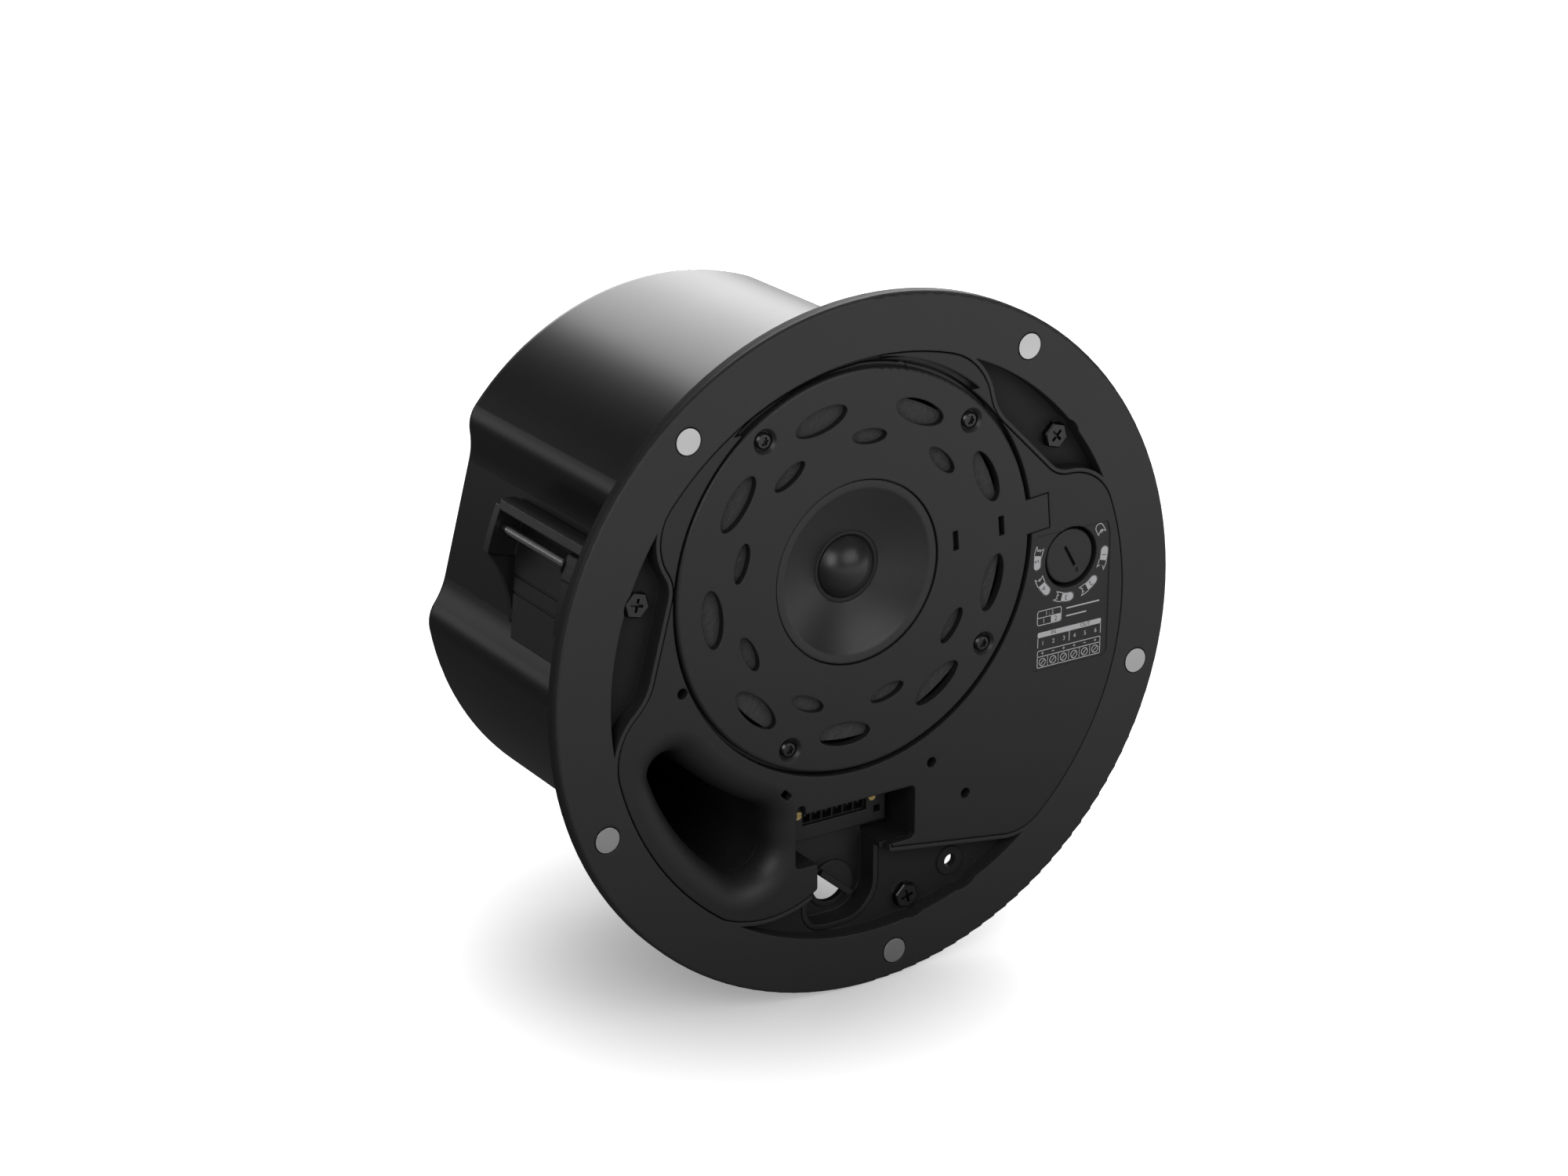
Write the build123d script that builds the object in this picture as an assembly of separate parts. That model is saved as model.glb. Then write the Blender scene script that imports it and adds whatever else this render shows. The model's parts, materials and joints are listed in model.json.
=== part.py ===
# Ceiling speaker: flanged baffle, coaxial driver, lobed back can and three swing clamps
#
# Everything is drawn lying face up: x to the right, y up the label, z out of the ceiling
# towards the room, with z = 0 on the face of the flange that meets the ceiling.
# put_up() turns each finished piece so that the room is at -Y and the label reads upwards.
import os
from math import acos, atan2, cos, degrees, hypot, radians, sin, sqrt

from build123d import *

# The round cover over the driver, which sets where the rim and everything between them lies
COVER_R = 68.2

# Mounting flange and baffle
FLANGE_R = COVER_R + 51.8
FLANGE_T = 5.0
RIM_EDGE_R = 1.2
COLLAR_R = FLANGE_R - 17.5
COLLAR_H = 3.5
BAFFLE_R = COLLAR_R - 2.3
BAFFLE_T = 3.0
BAFFLE_FLAT = BAFFLE_R - 16.75
GROOVE = 0.5
LEDGE_R = BAFFLE_R - 7.2
LEDGE_FLAT = BAFFLE_FLAT - 1.45
SMALL_HOLE_R = 1.85
STRIP_LOW = BAFFLE_R - 17.2

# Wells for the clamp screws
WELL_R = COLLAR_R - 2.1
WELL_WALL = 1.3
WELL_DEPTH = 6.5
WELL_FLOOR_T = 2.0
WELL_BAY_R = 6.7
TETHER_BAY_R = 8.8
BITE_ANGLES = (45.0, 165.0, 285.0)
BAFFLE_CW = tuple(BAFFLE_R * share for share in (0.12375, 0.11976, 0.17964))
BAFFLE_CCW = tuple(BAFFLE_R * share for share in (0.14770, 0.19960, 0.21956))
CAN_SIDE = (20.7, 25.0, 12.0)

# Back can
CAN_R = COLLAR_R - 6.0
CAN_FLAT = CAN_R - 10.5
CAN_WALL = 1.2
CAN_REAR = 132.0
CAN_EDGE_R = 5.0
GASKET_T = 1.0
LOWER_BITE_STEP = 2.5
LOWER_BITE_LEFT = -31.0
LOWER_BITE_ROUNDS = (6.0, 8.0, 14.0)

# Coaxial driver, measured from its own centre
DRIVER_X = -8.05
DRIVER_Y = 29.0
COVER_T = 3.0
COVER_GAP = 1.3
COVER_TURN = 5.0
TAB_HALF = 6.0
TAB_REACH = COVER_R + 8.1
OUTER_OVALS = 9
OUTER_OVAL_RING = COVER_R - 12.9
OUTER_OVAL = (10.0, 4.0)
INNER_OVAL_STEPS = 9
INNER_OVAL_RING = COVER_R - 22.6
INNER_OVAL = (6.7, 2.6)
SLOT_RINGS = (COVER_R - 29.7, COVER_R - 11.2)
COVER_SCREW_RING = COVER_R - 6.5
COVER_SCREW_ANGLES = (45.0, 125.0, 245.0, 325.0)
CLOTH_T = 0.6
CLOTH_R = COVER_R - 10.0
WAVEGUIDE_R = 31.0
THROAT_R = 11.7
DOME_R = 10.4
DOME_H = 6.2
DOME_BASE = -2.2
DOME_SHELL = 0.35
CONE_R = COVER_R - 21.7
CONE_DEPTH = 26.0
CONE_SKIN = 0.7
CONE_TOP = -7.4
COIL_R = 12.7
CAP_R = 16.7
CAP_H = 4.0
COIL_GAP = 0.6
SEAT_R = COVER_R + 4.3
SEAT_LEDGE_R = SEAT_R - 8.1
BASKET_FLANGE_R = SEAT_R - 3.4
BASKET_FLANGE_T = 2.5
BASKET_BODY_R = SEAT_LEDGE_R - 0.5
BASKET_WALL = 1.6
DRIVER_SCREW_RING = SEAT_R - 5.7
DRIVER_SCREW_ANGLES = (20.0, 75.0, 135.0, 195.0, 265.0, 305.0)
MAGNET_R = 38.0
MAGNET_H = 15.0
PLATE_T = 5.0
PLATE_R = 32.0
PLATE_FRONT = -40.0

# Port
PORT_OUTER_R = BAFFLE_R - 12.2
PORT_INNER_R = SEAT_R + 10.3
PORT_START = 194.0
PORT_END_X = -39.5
PORT_FLARE = 9.0
PORT_ROUNDS = (5.5, 5.0, 9.0, 10.0)
PORT_WALL = 2.2
PORT_LENGTH = 78.0

# Clamps, in a frame that has x outwards through the middle of a bite
SCREW_R = CAN_FLAT + 8.5
SCREW_TURN = -5.7
THREAD_R = 1.7
SCREW_TAIL = 81.9
PIN_R = 1.2
RUNNING = 0.06
TOWER_R = SCREW_R + 3.9
TOWER_REAR = SCREW_TAIL + 5.5
TOWER_BACK_T = 3.4
TOWER_WALL = 2.9
TOWER_INNER = CAN_FLAT + 1.4
TOWER_SIDE = -18.2
TOWER_FOOT = 2.5
TOWER_GAP = 0.5
BAND = 1.4
HOOD_R = 12.4
PANEL_OUT = CAN_FLAT + 1.8
PANEL_GROOVES = (5.5, 11.0)
FIN_END = 25.7
FIN_SLOPE = 0.31
FIN_FRONT = SCREW_TAIL + 4.1
FIN_T = 1.9
FIN_R = 32.0
ARM_FRONT = 26.0
ARM_H = 12.0
ARM_REACH = 23.0
CLAW_RISE = 3.0
CLAW_LENGTH = 9.0
HUB_R = 5.4
NUT_R = 3.4

# Tap selector
TAP_X = BAFFLE_R - 21.9
TAP_Y = 17.1
TAP_HOLE_R = 10.8
KNOB_R = 9.6
KNOB_SINK = 1.0
KNOB_T = 5.0
POINTER_ANGLE = -60.0
SWITCH_R = 12.5
SWITCH_H = 14.0

# Lower edge of the baffle, a line that falls to the right from below the middle
EDGE_SLOPE = -0.151
EDGE_DROP = BAFFLE_R - 29.8
EDGE_ROUND = 18.0
BUMP_TURN = 232.7
BUMP_CREST = (-42.0, -EDGE_DROP - 14.3)
BUMP_END_Y = -EDGE_DROP - 9.0
BUMP_ROUNDS = (12.0, 1.5)
TIP_X = 6.6

# Terminal compartment
TERMINAL_LEFT = -31.9
TERMINAL_RIGHT = 15.6
TERMINAL_TOP = 49.1 - BAFFLE_R
TERMINAL_BOTTOM = TERMINAL_TOP - 19.3
TRAY_FLOOR = 9.4
TRAY_WALL = 1.8
TROUGH_LEFT = -23.3
TROUGH_RIGHT = 3.4
TROUGH_BOTTOM = 3.2 - BAFFLE_R
BOX_FLOOR = 13.0
TROUGH_ROUNDS = (12.0, 7.0)
TRAY_FIT = 0.3
CABLE_X = -9.3
CABLE_Y = 14.0 - BAFFLE_R
CABLE_HOLE_R = 6.8
CABLE_CHORD_ANGLE = -40.7
HEADER_WAYS = 6
HEADER_PITCH = 4.23
HEADER_CENTRE_X = -9.1
HEADER_LEFT = -26.6
HEADER_RIGHT = 11.2
HEADER_TOP = TERMINAL_TOP - 0.9
HEADER_BOTTOM = TERMINAL_TOP - 15.3
HEADER_FRONT = 6.3
HEADER_CELL = (TERMINAL_TOP - 10.3, TERMINAL_TOP - 4.1)
HEADER_PIN_Y = TERMINAL_TOP - 7.4
HEADER_KEY = (8.0, TERMINAL_TOP - 11.0, 2.5)
HEADER_SCREW_X = (-24.1, 5.4)
HEADER_SCREW_Y = TERMINAL_TOP - 5.7
HEADER_SCREW_R = 1.45
TETHER_X = 34.5
TETHER_Y = 14.2 - BAFFLE_R
TETHER_R = 2.3
TETHER_BOSS_R = 5.2

# Steel pads that the magnetic grille grips
PAD_COUNT = 5
PAD_RING = FLANGE_R - 9.4
PAD_R = 4.3
PAD_GAP = 0.35
PAD_START = -13.9
PAD_T = 2.0

# Inside the can: board as left, right, low and high edge, parts as x, y, sizes and height
BOARD_HEIGHT = 11.0 - CAN_REAR
BOARD_T = 1.6
BOARD = (-62.0, 18.0, -22.0, 48.0)
PILLAR_INSET = 5.0
PILLAR_R = 3.2
CAPACITORS = ((-45, 30, 9.0, 24), (-22, 34, 8.0, 20), (-46, 6, 7.0, 18))
COILS = ((-20, -2, 14.0, 6.0, 14), (4, 30, 10.0, 4.5, 12))
FELT_T = 4.5
FELT_FRONT = -16.0
FELT_LOW = 50.0

# Worked out from the sizes above
REAR_INSIDE = -CAN_REAR + CAN_WALL
PILLAR_SPOTS = [
    (x, y)
    for x in (BOARD[0] + PILLAR_INSET, BOARD[1] - PILLAR_INSET)
    for y in (BOARD[2] + PILLAR_INSET, BOARD[3] - PILLAR_INSET)
]
FACE = FLANGE_T
SEAT = FACE - BAFFLE_T
WELL_FLOOR = FACE - WELL_DEPTH
CAN_FRONT = -COLLAR_H - GASKET_T
DRIVER = (DRIVER_X, DRIVER_Y)
COVER_HOLE_R = COVER_R + COVER_GAP

os.makedirs("parts", exist_ok=True)


def put_up(name, *solids):
    """Turn finished solids from lying face up to facing -Y, and write them."""
    lying = Compound(children=[s for piece in solids for s in piece.solids()])
    export_step(Plane.XZ.location * lying, f"parts/{name}.step")


def slab(face, low, high):
    """The face, extruded from height low to height high."""
    return Pos(0, 0, low) * extrude(face, amount=high - low, dir=(0, 0, 1))


def drum(radius, low, high, centre=(0, 0)):
    """A round solid from height low to height high."""
    return slab(Pos(*centre) * Circle(radius), low, high)


def pipe(outer, inner, low, high, centre=(0, 0)):
    """A round solid with a round bore."""
    return slab(Pos(*centre) * (Circle(outer) - Circle(inner)), low, high)


def turned(points, centre=(0, 0)):
    """A solid turned about the z axis from straight runs of (radius, height)."""
    outline = make_face(Polyline(*points, close=True))
    return Pos(*centre) * revolve(Plane.XZ * outline, Axis.Z)


def together(shape):
    """One compound, whether a joining left one solid or several."""
    return Compound(children=list(shape.solids()))


def biggest(shape):
    return shape.solids().sort_by(SortBy.VOLUME)[-1]


# Outline that the can, the baffle and the flange share
#
# A circle with three shallow bites. A side of a bite is half its flat, a hollow arc and
# a crest arc, each tangent to the next, and the crest arc is tangent inside the circle.
def bite_side(radius, flat, half, hollow_r, crest_r, side):
    """Five points of one side, in the frame of the bite, and the angle of the last."""
    reach = radius - crest_r
    hollow = Vector(flat + hollow_r, half)
    span = hollow.length
    lean = acos((reach**2 + span**2 - (hollow_r + crest_r) ** 2) / (2 * reach * span))
    turn = atan2(half, flat + hollow_r) + lean
    crest = Vector(reach * cos(turn), reach * sin(turn))
    join = hollow + (crest - hollow).normalized() * hollow_r
    end = Vector(radius * cos(turn), radius * sin(turn))
    low = Vector(flat, half)
    mid_hollow = hollow + ((low - hollow) + (join - hollow)).normalized() * hollow_r
    mid_crest = crest + ((join - crest) + (end - crest)).normalized() * crest_r
    points = [low, mid_hollow, join, mid_crest, end]
    return [Vector(p.X, side * p.Y) for p in points], turn


def lobed(radius, flat, cw, ccw, angles=BITE_ANGLES[:2]):
    """Face of a circle with bites. cw and ccw give flat half length, hollow and crest."""
    edges = []
    ends = []
    for angle in angles:
        before, turn_in = bite_side(radius, flat, *cw, side=-1)
        after, turn_out = bite_side(radius, flat, *ccw, side=1)
        run = [p.rotate(Axis.Z, angle) for p in before[::-1] + after]
        edges.append(ThreePointArc(run[0], run[1], run[2]))
        edges.append(ThreePointArc(run[2], run[3], run[4]))
        edges.append(Line(run[4], run[5]))
        edges.append(ThreePointArc(run[5], run[6], run[7]))
        edges.append(ThreePointArc(run[7], run[8], run[9]))
        ends.append((angle - degrees(turn_in), run[0], angle + degrees(turn_out), run[9]))
    for here, after in zip(ends, ends[1:] + ends[:1]):
        stop = after[0] if after[0] > here[2] else after[0] + 360
        half_way = radians((here[2] + stop) / 2)
        middle = Vector(radius * cos(half_way), radius * sin(half_way))
        edges.append(ThreePointArc(here[3], middle, after[1]))
    return make_face(Curve() + edges)


def grown(sides, step):
    """The same bite side when its outline is moved outwards by a step."""
    return (sides[0], sides[1] - step, sides[2] + step)


def baffle_lobe(step=0.0):
    cw = grown(BAFFLE_CW, step)
    ccw = grown(BAFFLE_CCW, step)
    return lobed(BAFFLE_R + step, BAFFLE_FLAT + step, cw, ccw)


def can_lobe(step=0.0):
    side = grown(CAN_SIDE, step)
    return lobed(CAN_R + step, CAN_FLAT + step, side, side)


def rounded(face, spots):
    """The face with the corner nearest to each (x, y) rounded by the radius given."""
    for x, y, radius in spots:
        corner = face.vertices().sort_by_distance((x, y, 0))[0]
        face = fillet(corner, radius)
    return face


def edge_line(x, drop=EDGE_DROP):
    return (x, EDGE_SLOPE * x - drop)


def edge_meets(radius, drop):
    """Where the sloping edge leaves a circle on the right."""
    a = 1 + EDGE_SLOPE**2
    half_b = -EDGE_SLOPE * drop
    return edge_line((-half_b + sqrt(half_b**2 - a * (drop**2 - radius**2))) / a, drop)


def baffle_outline():
    """The lobed face, less the region under the sloping edge and the terminal window."""
    far = BAFFLE_R
    bump = radians(BUMP_TURN)
    left = ((BAFFLE_R + 0.26) * cos(bump), (BAFFLE_R + 0.26) * sin(bump))
    right = (TROUGH_LEFT, BUMP_END_Y)
    middle = (TERMINAL_TOP + TERMINAL_BOTTOM) / 2
    under = [
        Line(edge_line(TIP_X), edge_line(far)),
        Polyline(edge_line(far), (far, -FLANGE_R), (-far, -FLANGE_R), left),
        ThreePointArc(left, BUMP_CREST, right),
        Polyline(right, (TROUGH_LEFT, middle), (TIP_X, middle), edge_line(TIP_X)),
    ]
    face = baffle_lobe() - make_face(Curve() + under)
    meet = edge_meets(BAFFLE_R, EDGE_DROP)
    left_round, right_round = BUMP_ROUNDS
    return rounded(face, [(*meet, EDGE_ROUND), (*left, left_round), (*right, right_round)])


def can_outline():
    """The lobed face of the can, with its lower bite cut back for the terminals."""
    drop = EDGE_DROP + LOWER_BITE_STEP
    left = LOWER_BITE_LEFT
    far = CAN_R
    under = Polyline(
        edge_line(left, drop), edge_line(far, drop), (far, -FLANGE_R), (left, -FLANGE_R), close=True
    )
    face = can_lobe() - make_face(under)
    inside, outside, right = LOWER_BITE_ROUNDS
    foot = -sqrt(CAN_R**2 - left**2)
    meet = edge_meets(CAN_R, drop)
    spots = [(*edge_line(left, drop), inside), (left, foot, outside), (*meet, right)]
    return rounded(face, spots)


BAFFLE = baffle_outline()
CAN = can_outline()
CAN_INSIDE = offset(CAN, amount=-CAN_WALL)
DRIVER_KEEP = lobed(BAFFLE_R - 2.0, LEDGE_FLAT - 0.4, BAFFLE_CW, BAFFLE_CCW)
DRIVER_PASSAGE = lobed(BAFFLE_R - 1.4, LEDGE_FLAT, BAFFLE_CW, BAFFLE_CCW)
SCREW_X = SCREW_R * cos(radians(SCREW_TURN))
SCREW_Y = SCREW_R * sin(radians(SCREW_TURN))
WELL_ROOM = Circle(WELL_R) + Pos(TETHER_X, TETHER_Y) * Circle(TETHER_BAY_R)
for bite in BITE_ANGLES:
    WELL_ROOM += Rot(0, 0, bite) * Pos(SCREW_X, SCREW_Y) * Circle(WELL_BAY_R)
WELLS = WELL_ROOM - offset(BAFFLE, amount=GROOVE + WELL_WALL)


def box(x0, x1, y0, y1, z0, z1):
    """A block between two corners, given axis by axis."""
    return Pos((x0 + x1) / 2, (y0 + y1) / 2, (z0 + z1) / 2) * Box(x1 - x0, y1 - y0, z1 - z0)


def around(count, ring, start=0.0, centre=(0, 0)):
    """Places spaced evenly on a ring."""
    for k in range(count):
        turn = radians(start + 360 / count * k)
        yield (centre[0] + ring * cos(turn), centre[1] + ring * sin(turn))


def driver_spot(ring, angle):
    turn = radians(angle)
    return (DRIVER_X + ring * cos(turn), DRIVER_Y + ring * sin(turn))


def in_bite(shape, angle):
    """Turn what is drawn with x outwards through a bite to that bite's place."""
    return Rot(0, 0, angle) * shape


# Terminal tray outlines
def tray_outline(step=0.0):
    grow = TRAY_WALL + step
    width = TERMINAL_RIGHT - TERMINAL_LEFT + 2 * grow
    height = TERMINAL_TOP - TERMINAL_BOTTOM + 2 * grow
    middle = ((TERMINAL_LEFT + TERMINAL_RIGHT) / 2, (TERMINAL_TOP + TERMINAL_BOTTOM) / 2)
    return Pos(*middle) * Rectangle(width, height)


def trough_outline(step=0.0):
    """The cable trough, with round lower corners, which runs out at the well's edge."""
    left = TROUGH_LEFT - step
    right = TROUGH_RIGHT + step
    top = TERMINAL_BOTTOM + TRAY_WALL
    bottom = TROUGH_BOTTOM - step
    outline = make_face(Polyline((left, top), (right, top), (right, bottom), (left, bottom), close=True))
    right_round, left_round = TROUGH_ROUNDS
    spots = [(right, bottom, right_round + step), (left, bottom, left_round + step)]
    return rounded(outline, spots) & Circle(WELL_R - 2.2 + step)


def mounting_flange():
    body = drum(FLANGE_R, 0, FACE)
    rim = body.edges().filter_by(GeomType.CIRCLE).sort_by(Axis.Z)[-1]
    body = fillet(rim, RIM_EDGE_R) + drum(COLLAR_R, -COLLAR_H, 0.5)
    body -= slab(offset(BAFFLE, amount=GROOVE), SEAT, FACE + 1)
    opening = lobed(LEDGE_R, LEDGE_FLAT, BAFFLE_CW, BAFFLE_CCW) & offset(BAFFLE, amount=-1.6)
    opening += Pos(*DRIVER) * Circle(SEAT_R + 0.4) & DRIVER_PASSAGE
    body -= slab(opening, -COLLAR_H - 1, FACE + 1)
    body -= slab(WELLS, WELL_FLOOR, FACE + 1)
    body += drum(TETHER_BOSS_R, WELL_FLOOR - 0.5, WELL_FLOOR + 0.8, (TETHER_X, TETHER_Y))
    body -= slab(tray_outline(TRAY_FIT), -COLLAR_H - 1, SEAT)
    body -= slab(tray_outline(-TRAY_WALL), SEAT - 1, FACE + 1)
    body -= slab(trough_outline(TRAY_WALL + TRAY_FIT), -COLLAR_H - 1, FACE + 1)
    for angle in BITE_ANGLES:
        body -= in_bite(drum(THREAD_R + 0.3, -COLLAR_H - 1, FACE, (SCREW_X, SCREW_Y)), angle)
    body -= drum(TETHER_R, -COLLAR_H - 1, FACE, (TETHER_X, TETHER_Y))
    for spot in around(PAD_COUNT, PAD_RING, PAD_START):
        body -= drum(PAD_R + PAD_GAP, FACE - PAD_T, FACE + 1, spot)
    return biggest(body)


# Port mouth, a crescent between an arc about the middle and one about the driver
def port_throat():
    ring = Circle(PORT_OUTER_R) - Pos(*DRIVER) * Circle(PORT_INNER_R)
    slope = sin(radians(PORT_START)) / cos(radians(PORT_START))
    far = -FLANGE_R - 30
    sector = Polyline(
        (PORT_END_X, slope * PORT_END_X), (far, slope * far), (far, far), (PORT_END_X, far), close=True
    )
    face = (ring & make_face(sector)).faces().sort_by(SortBy.AREA)[-1]
    start = radians(PORT_START)
    along = DRIVER_X * cos(start) + DRIVER_Y * sin(start)
    inner = along + sqrt(along**2 - DRIVER_X**2 - DRIVER_Y**2 + PORT_INNER_R**2)
    high = DRIVER_Y - sqrt(PORT_INNER_R**2 - (PORT_END_X - DRIVER_X) ** 2)
    low = -sqrt(PORT_OUTER_R**2 - PORT_END_X**2)
    spots = [
        (PORT_OUTER_R * cos(start), PORT_OUTER_R * sin(start)), (inner * cos(start), inner * sin(start)),
        (PORT_END_X, high), (PORT_END_X, low),
    ]
    return rounded(face, [(*spot, radius) for spot, radius in zip(spots, PORT_ROUNDS)])


PORT = port_throat()


def baffle():
    window = Pos(
        (TERMINAL_LEFT + TERMINAL_RIGHT) / 2, (TERMINAL_TOP + TERMINAL_BOTTOM) / 2
    ) * RectangleRounded(TERMINAL_RIGHT - TERMINAL_LEFT, TERMINAL_TOP - TERMINAL_BOTTOM, 2.0)
    notch = Pos(TERMINAL_LEFT + 2.2, TERMINAL_TOP) * RectangleRounded(3.4, 6.4, 1.5)
    above = Pos(0, STRIP_LOW + FLANGE_R / 2) * Rectangle(FLANGE_R, FLANGE_R)
    strip = Pos(*DRIVER) * Circle(SEAT_R - 0.9) & above
    opening = Pos(*DRIVER) * Circle(COVER_HOLE_R)
    body = slab(BAFFLE - opening - strip, SEAT, FACE)
    seat = pipe(SEAT_R, COVER_HOLE_R + 0.4, SEAT - BASKET_FLANGE_T - 2.0, SEAT, DRIVER)
    seat += pipe(SEAT_R, SEAT_LEDGE_R, SEAT - BASKET_FLANGE_T - 2.0, SEAT - BASKET_FLANGE_T, DRIVER)
    body += together(seat) & slab(DRIVER_KEEP, -10, SEAT)
    body += slab(offset(PORT, amount=PORT_WALL * 2), -6, SEAT)
    body -= slab(PORT, -7, FACE + 1)
    front = body.faces().filter_by(Axis.Z).sort_by(SortBy.AREA)[-1]
    lip = front.inner_wires().sort_by(SortBy.LENGTH)[-1]
    body = fillet(lip.edges(), PORT_FLARE) - slab(window + notch, SEAT - 1, FACE + 1)
    tab = box(COVER_R - 8, TAB_REACH + 0.5, -TAB_HALF - 0.4, TAB_HALF + 0.4, SEAT, 9)
    body -= Pos(*DRIVER) * Rot(0, 0, COVER_TURN) * tab
    body += pipe(TAP_HOLE_R + 1.8, TAP_HOLE_R, -3, SEAT, (TAP_X, TAP_Y))
    body -= drum(TAP_HOLE_R, -4, 9, (TAP_X, TAP_Y))
    label = Pos(TAP_X + 0.3, 2.8) * RectangleRounded(32, 48.4, 2.0) & offset(BAFFLE, amount=-3)
    body -= slab(label, FACE - 0.3, 9)
    for spot in (driver_spot(SEAT_R + 7.0, -67.7), driver_spot(SEAT_R + 26.2, -63.3)):
        body += drum(4.2, -4, SEAT + 0.5, spot)
        body -= drum(SMALL_HOLE_R, -5, 9, spot)
    slot = Pos(*driver_spot(SEAT_R + 4.2, 249.1)) * Rot(0, 0, 45) * RectangleRounded(2.5, 4.2, 0.8)
    body -= slab(slot, -5, 9)
    body -= drum(SMALL_HOLE_R, -5, 9, driver_spot(COVER_HOLE_R + 2.2, 202.3))
    return biggest(body)


def port_duct():
    tube = slab(offset(PORT, amount=PORT_WALL) - PORT, -PORT_LENGTH, -6)
    return tube


def back_can():
    shell = slab(CAN, -CAN_REAR, CAN_FRONT)
    shell = fillet(shell.faces().sort_by(Axis.Z)[0].edges(), CAN_EDGE_R)
    hollow = slab(CAN_INSIDE, -CAN_REAR + CAN_WALL, CAN_FRONT + 1)
    hollow = fillet(hollow.faces().sort_by(Axis.Z)[0].edges(), CAN_EDGE_R - CAN_WALL)
    shell -= hollow
    shell -= slab(tray_outline(1.0), -BOX_FLOOR - TRAY_WALL - 1.0, 0)
    shell -= slab(trough_outline(TRAY_WALL + 1.0), -TRAY_FLOOR - TRAY_WALL - 1.0, 0)
    return biggest(shell)


def can_gasket():
    ring = offset(CAN, amount=0.8) - offset(CAN, amount=-2.0)
    body = slab(ring, CAN_FRONT, -COLLAR_H)
    body -= slab(tray_outline(0.6), -9, 0)
    body -= slab(trough_outline(TRAY_WALL + 0.6), -9, 0)
    return biggest(body)


# Coaxial driver
def cover_disc():
    body = drum(COVER_R, SEAT, FACE, DRIVER)
    body = fillet(body.edges().filter_by(GeomType.CIRCLE).sort_by(Axis.Z)[-1], 1.2)
    turned_tab = Rot(0, 0, COVER_TURN) * box(COVER_R - 8, TAB_REACH, -TAB_HALF, TAB_HALF, SEAT, FACE)
    body += Pos(*DRIVER) * turned_tab
    body -= drum(WAVEGUIDE_R + 0.4, SEAT + 0.6, FACE + 1, DRIVER)
    body -= drum(WAVEGUIDE_R - 1.6, SEAT - 1, FACE + 1, DRIVER)
    body -= pipe(CLOTH_R + 0.2, WAVEGUIDE_R + 2.0, SEAT - 1, SEAT + CLOTH_T + 0.05, DRIVER)
    cuts = []
    for k in range(OUTER_OVALS):
        angle = COVER_TURN + 20 + 40 * k
        spot = driver_spot(OUTER_OVAL_RING, angle)
        cuts.append(Pos(*spot) * Rot(0, 0, angle + 90) * Ellipse(*OUTER_OVAL))
    for k in range(1, INNER_OVAL_STEPS):
        angle = COVER_TURN + 40 * k
        spot = driver_spot(INNER_OVAL_RING, angle)
        cuts.append(Pos(*spot) * Rot(0, 0, angle + 90) * Ellipse(*INNER_OVAL))
    for ring in SLOT_RINGS:
        cuts.append(Pos(*driver_spot(ring, COVER_TURN)) * Rot(0, 0, COVER_TURN) * Rectangle(2.2, 6.8))
    for cut in cuts:
        body -= slab(cut, SEAT - 1, FACE + 1)
    for angle in COVER_SCREW_ANGLES:
        spot = driver_spot(COVER_SCREW_RING, angle)
        sink = [(0, SEAT - 1), (1.7, SEAT - 1), (1.7, 3.2), (3.3, 3.2), (3.3, 4.0), (4.3, FACE)]
        body -= turned(sink + [(4.3, 6), (0, 6)], spot)
    return biggest(body)


def torx(radius, low, high):
    """A six-lobed drive recess."""
    star = Circle(radius * 0.72)
    for spot in around(6, radius * 0.72):
        star += Pos(*spot) * Circle(radius * 0.3)
    return slab(star, low, high)


def cover_screws():
    screws = []
    for angle in COVER_SCREW_ANGLES:
        head = turned([(0, -5), (1.5, -5), (1.5, 3.2), (2.8, 3.2), (2.8, 3.9), (2.2, 4.6), (0, 4.8)])
        head -= torx(1.5, 3.7, 6)
        screws.append(Pos(*driver_spot(COVER_SCREW_RING, angle)) * head)
    return screws


def basket():
    low = SEAT - BASKET_FLANGE_T
    inside = BASKET_BODY_R - BASKET_WALL
    ledge = CONE_TOP - BASKET_WALL
    neck = PLATE_R + 1.0
    plate = together(pipe(BASKET_FLANGE_R, inside, low, SEAT, DRIVER)) & slab(DRIVER_KEEP, -20, 9)
    cup = pipe(BASKET_BODY_R, inside, ledge, low, DRIVER)
    cup += pipe(BASKET_BODY_R, CONE_R + 7.0, ledge, CONE_TOP, DRIVER)
    frame = turned(
        [
            (BASKET_BODY_R, ledge), (neck, PLATE_FRONT), (17, PLATE_FRONT), (17, PLATE_FRONT + 2),
            (neck - 1.5, PLATE_FRONT + 2), (inside - 1.8, ledge),
        ],
        DRIVER,
    )
    body = together(plate) + cup + frame
    for k in range(6):
        window = Pos(CONE_R + 1.5, 0, -25) * Box(26, 26, 40)
        window = fillet(window.edges().filter_by(Axis.Z), 5)
        keep = Pos(*DRIVER) * (Rot(0, 0, 60 * k + 30) * window)
        body -= keep & pipe(inside - 1.3, neck + 1.0, PLATE_FRONT + 2, ledge, DRIVER)
    for angle in COVER_SCREW_ANGLES:
        body += drum(2.7, -7.5, SEAT, driver_spot(COVER_SCREW_RING, angle))
        body -= drum(1.55, -6, 9, driver_spot(COVER_SCREW_RING, angle))
    for angle in DRIVER_SCREW_ANGLES:
        body -= drum(1.6, -9, 9, driver_spot(DRIVER_SCREW_RING, angle))
        body -= drum(2.7, SEAT - 1.2, 9, driver_spot(DRIVER_SCREW_RING, angle))
    return biggest(body)


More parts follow.
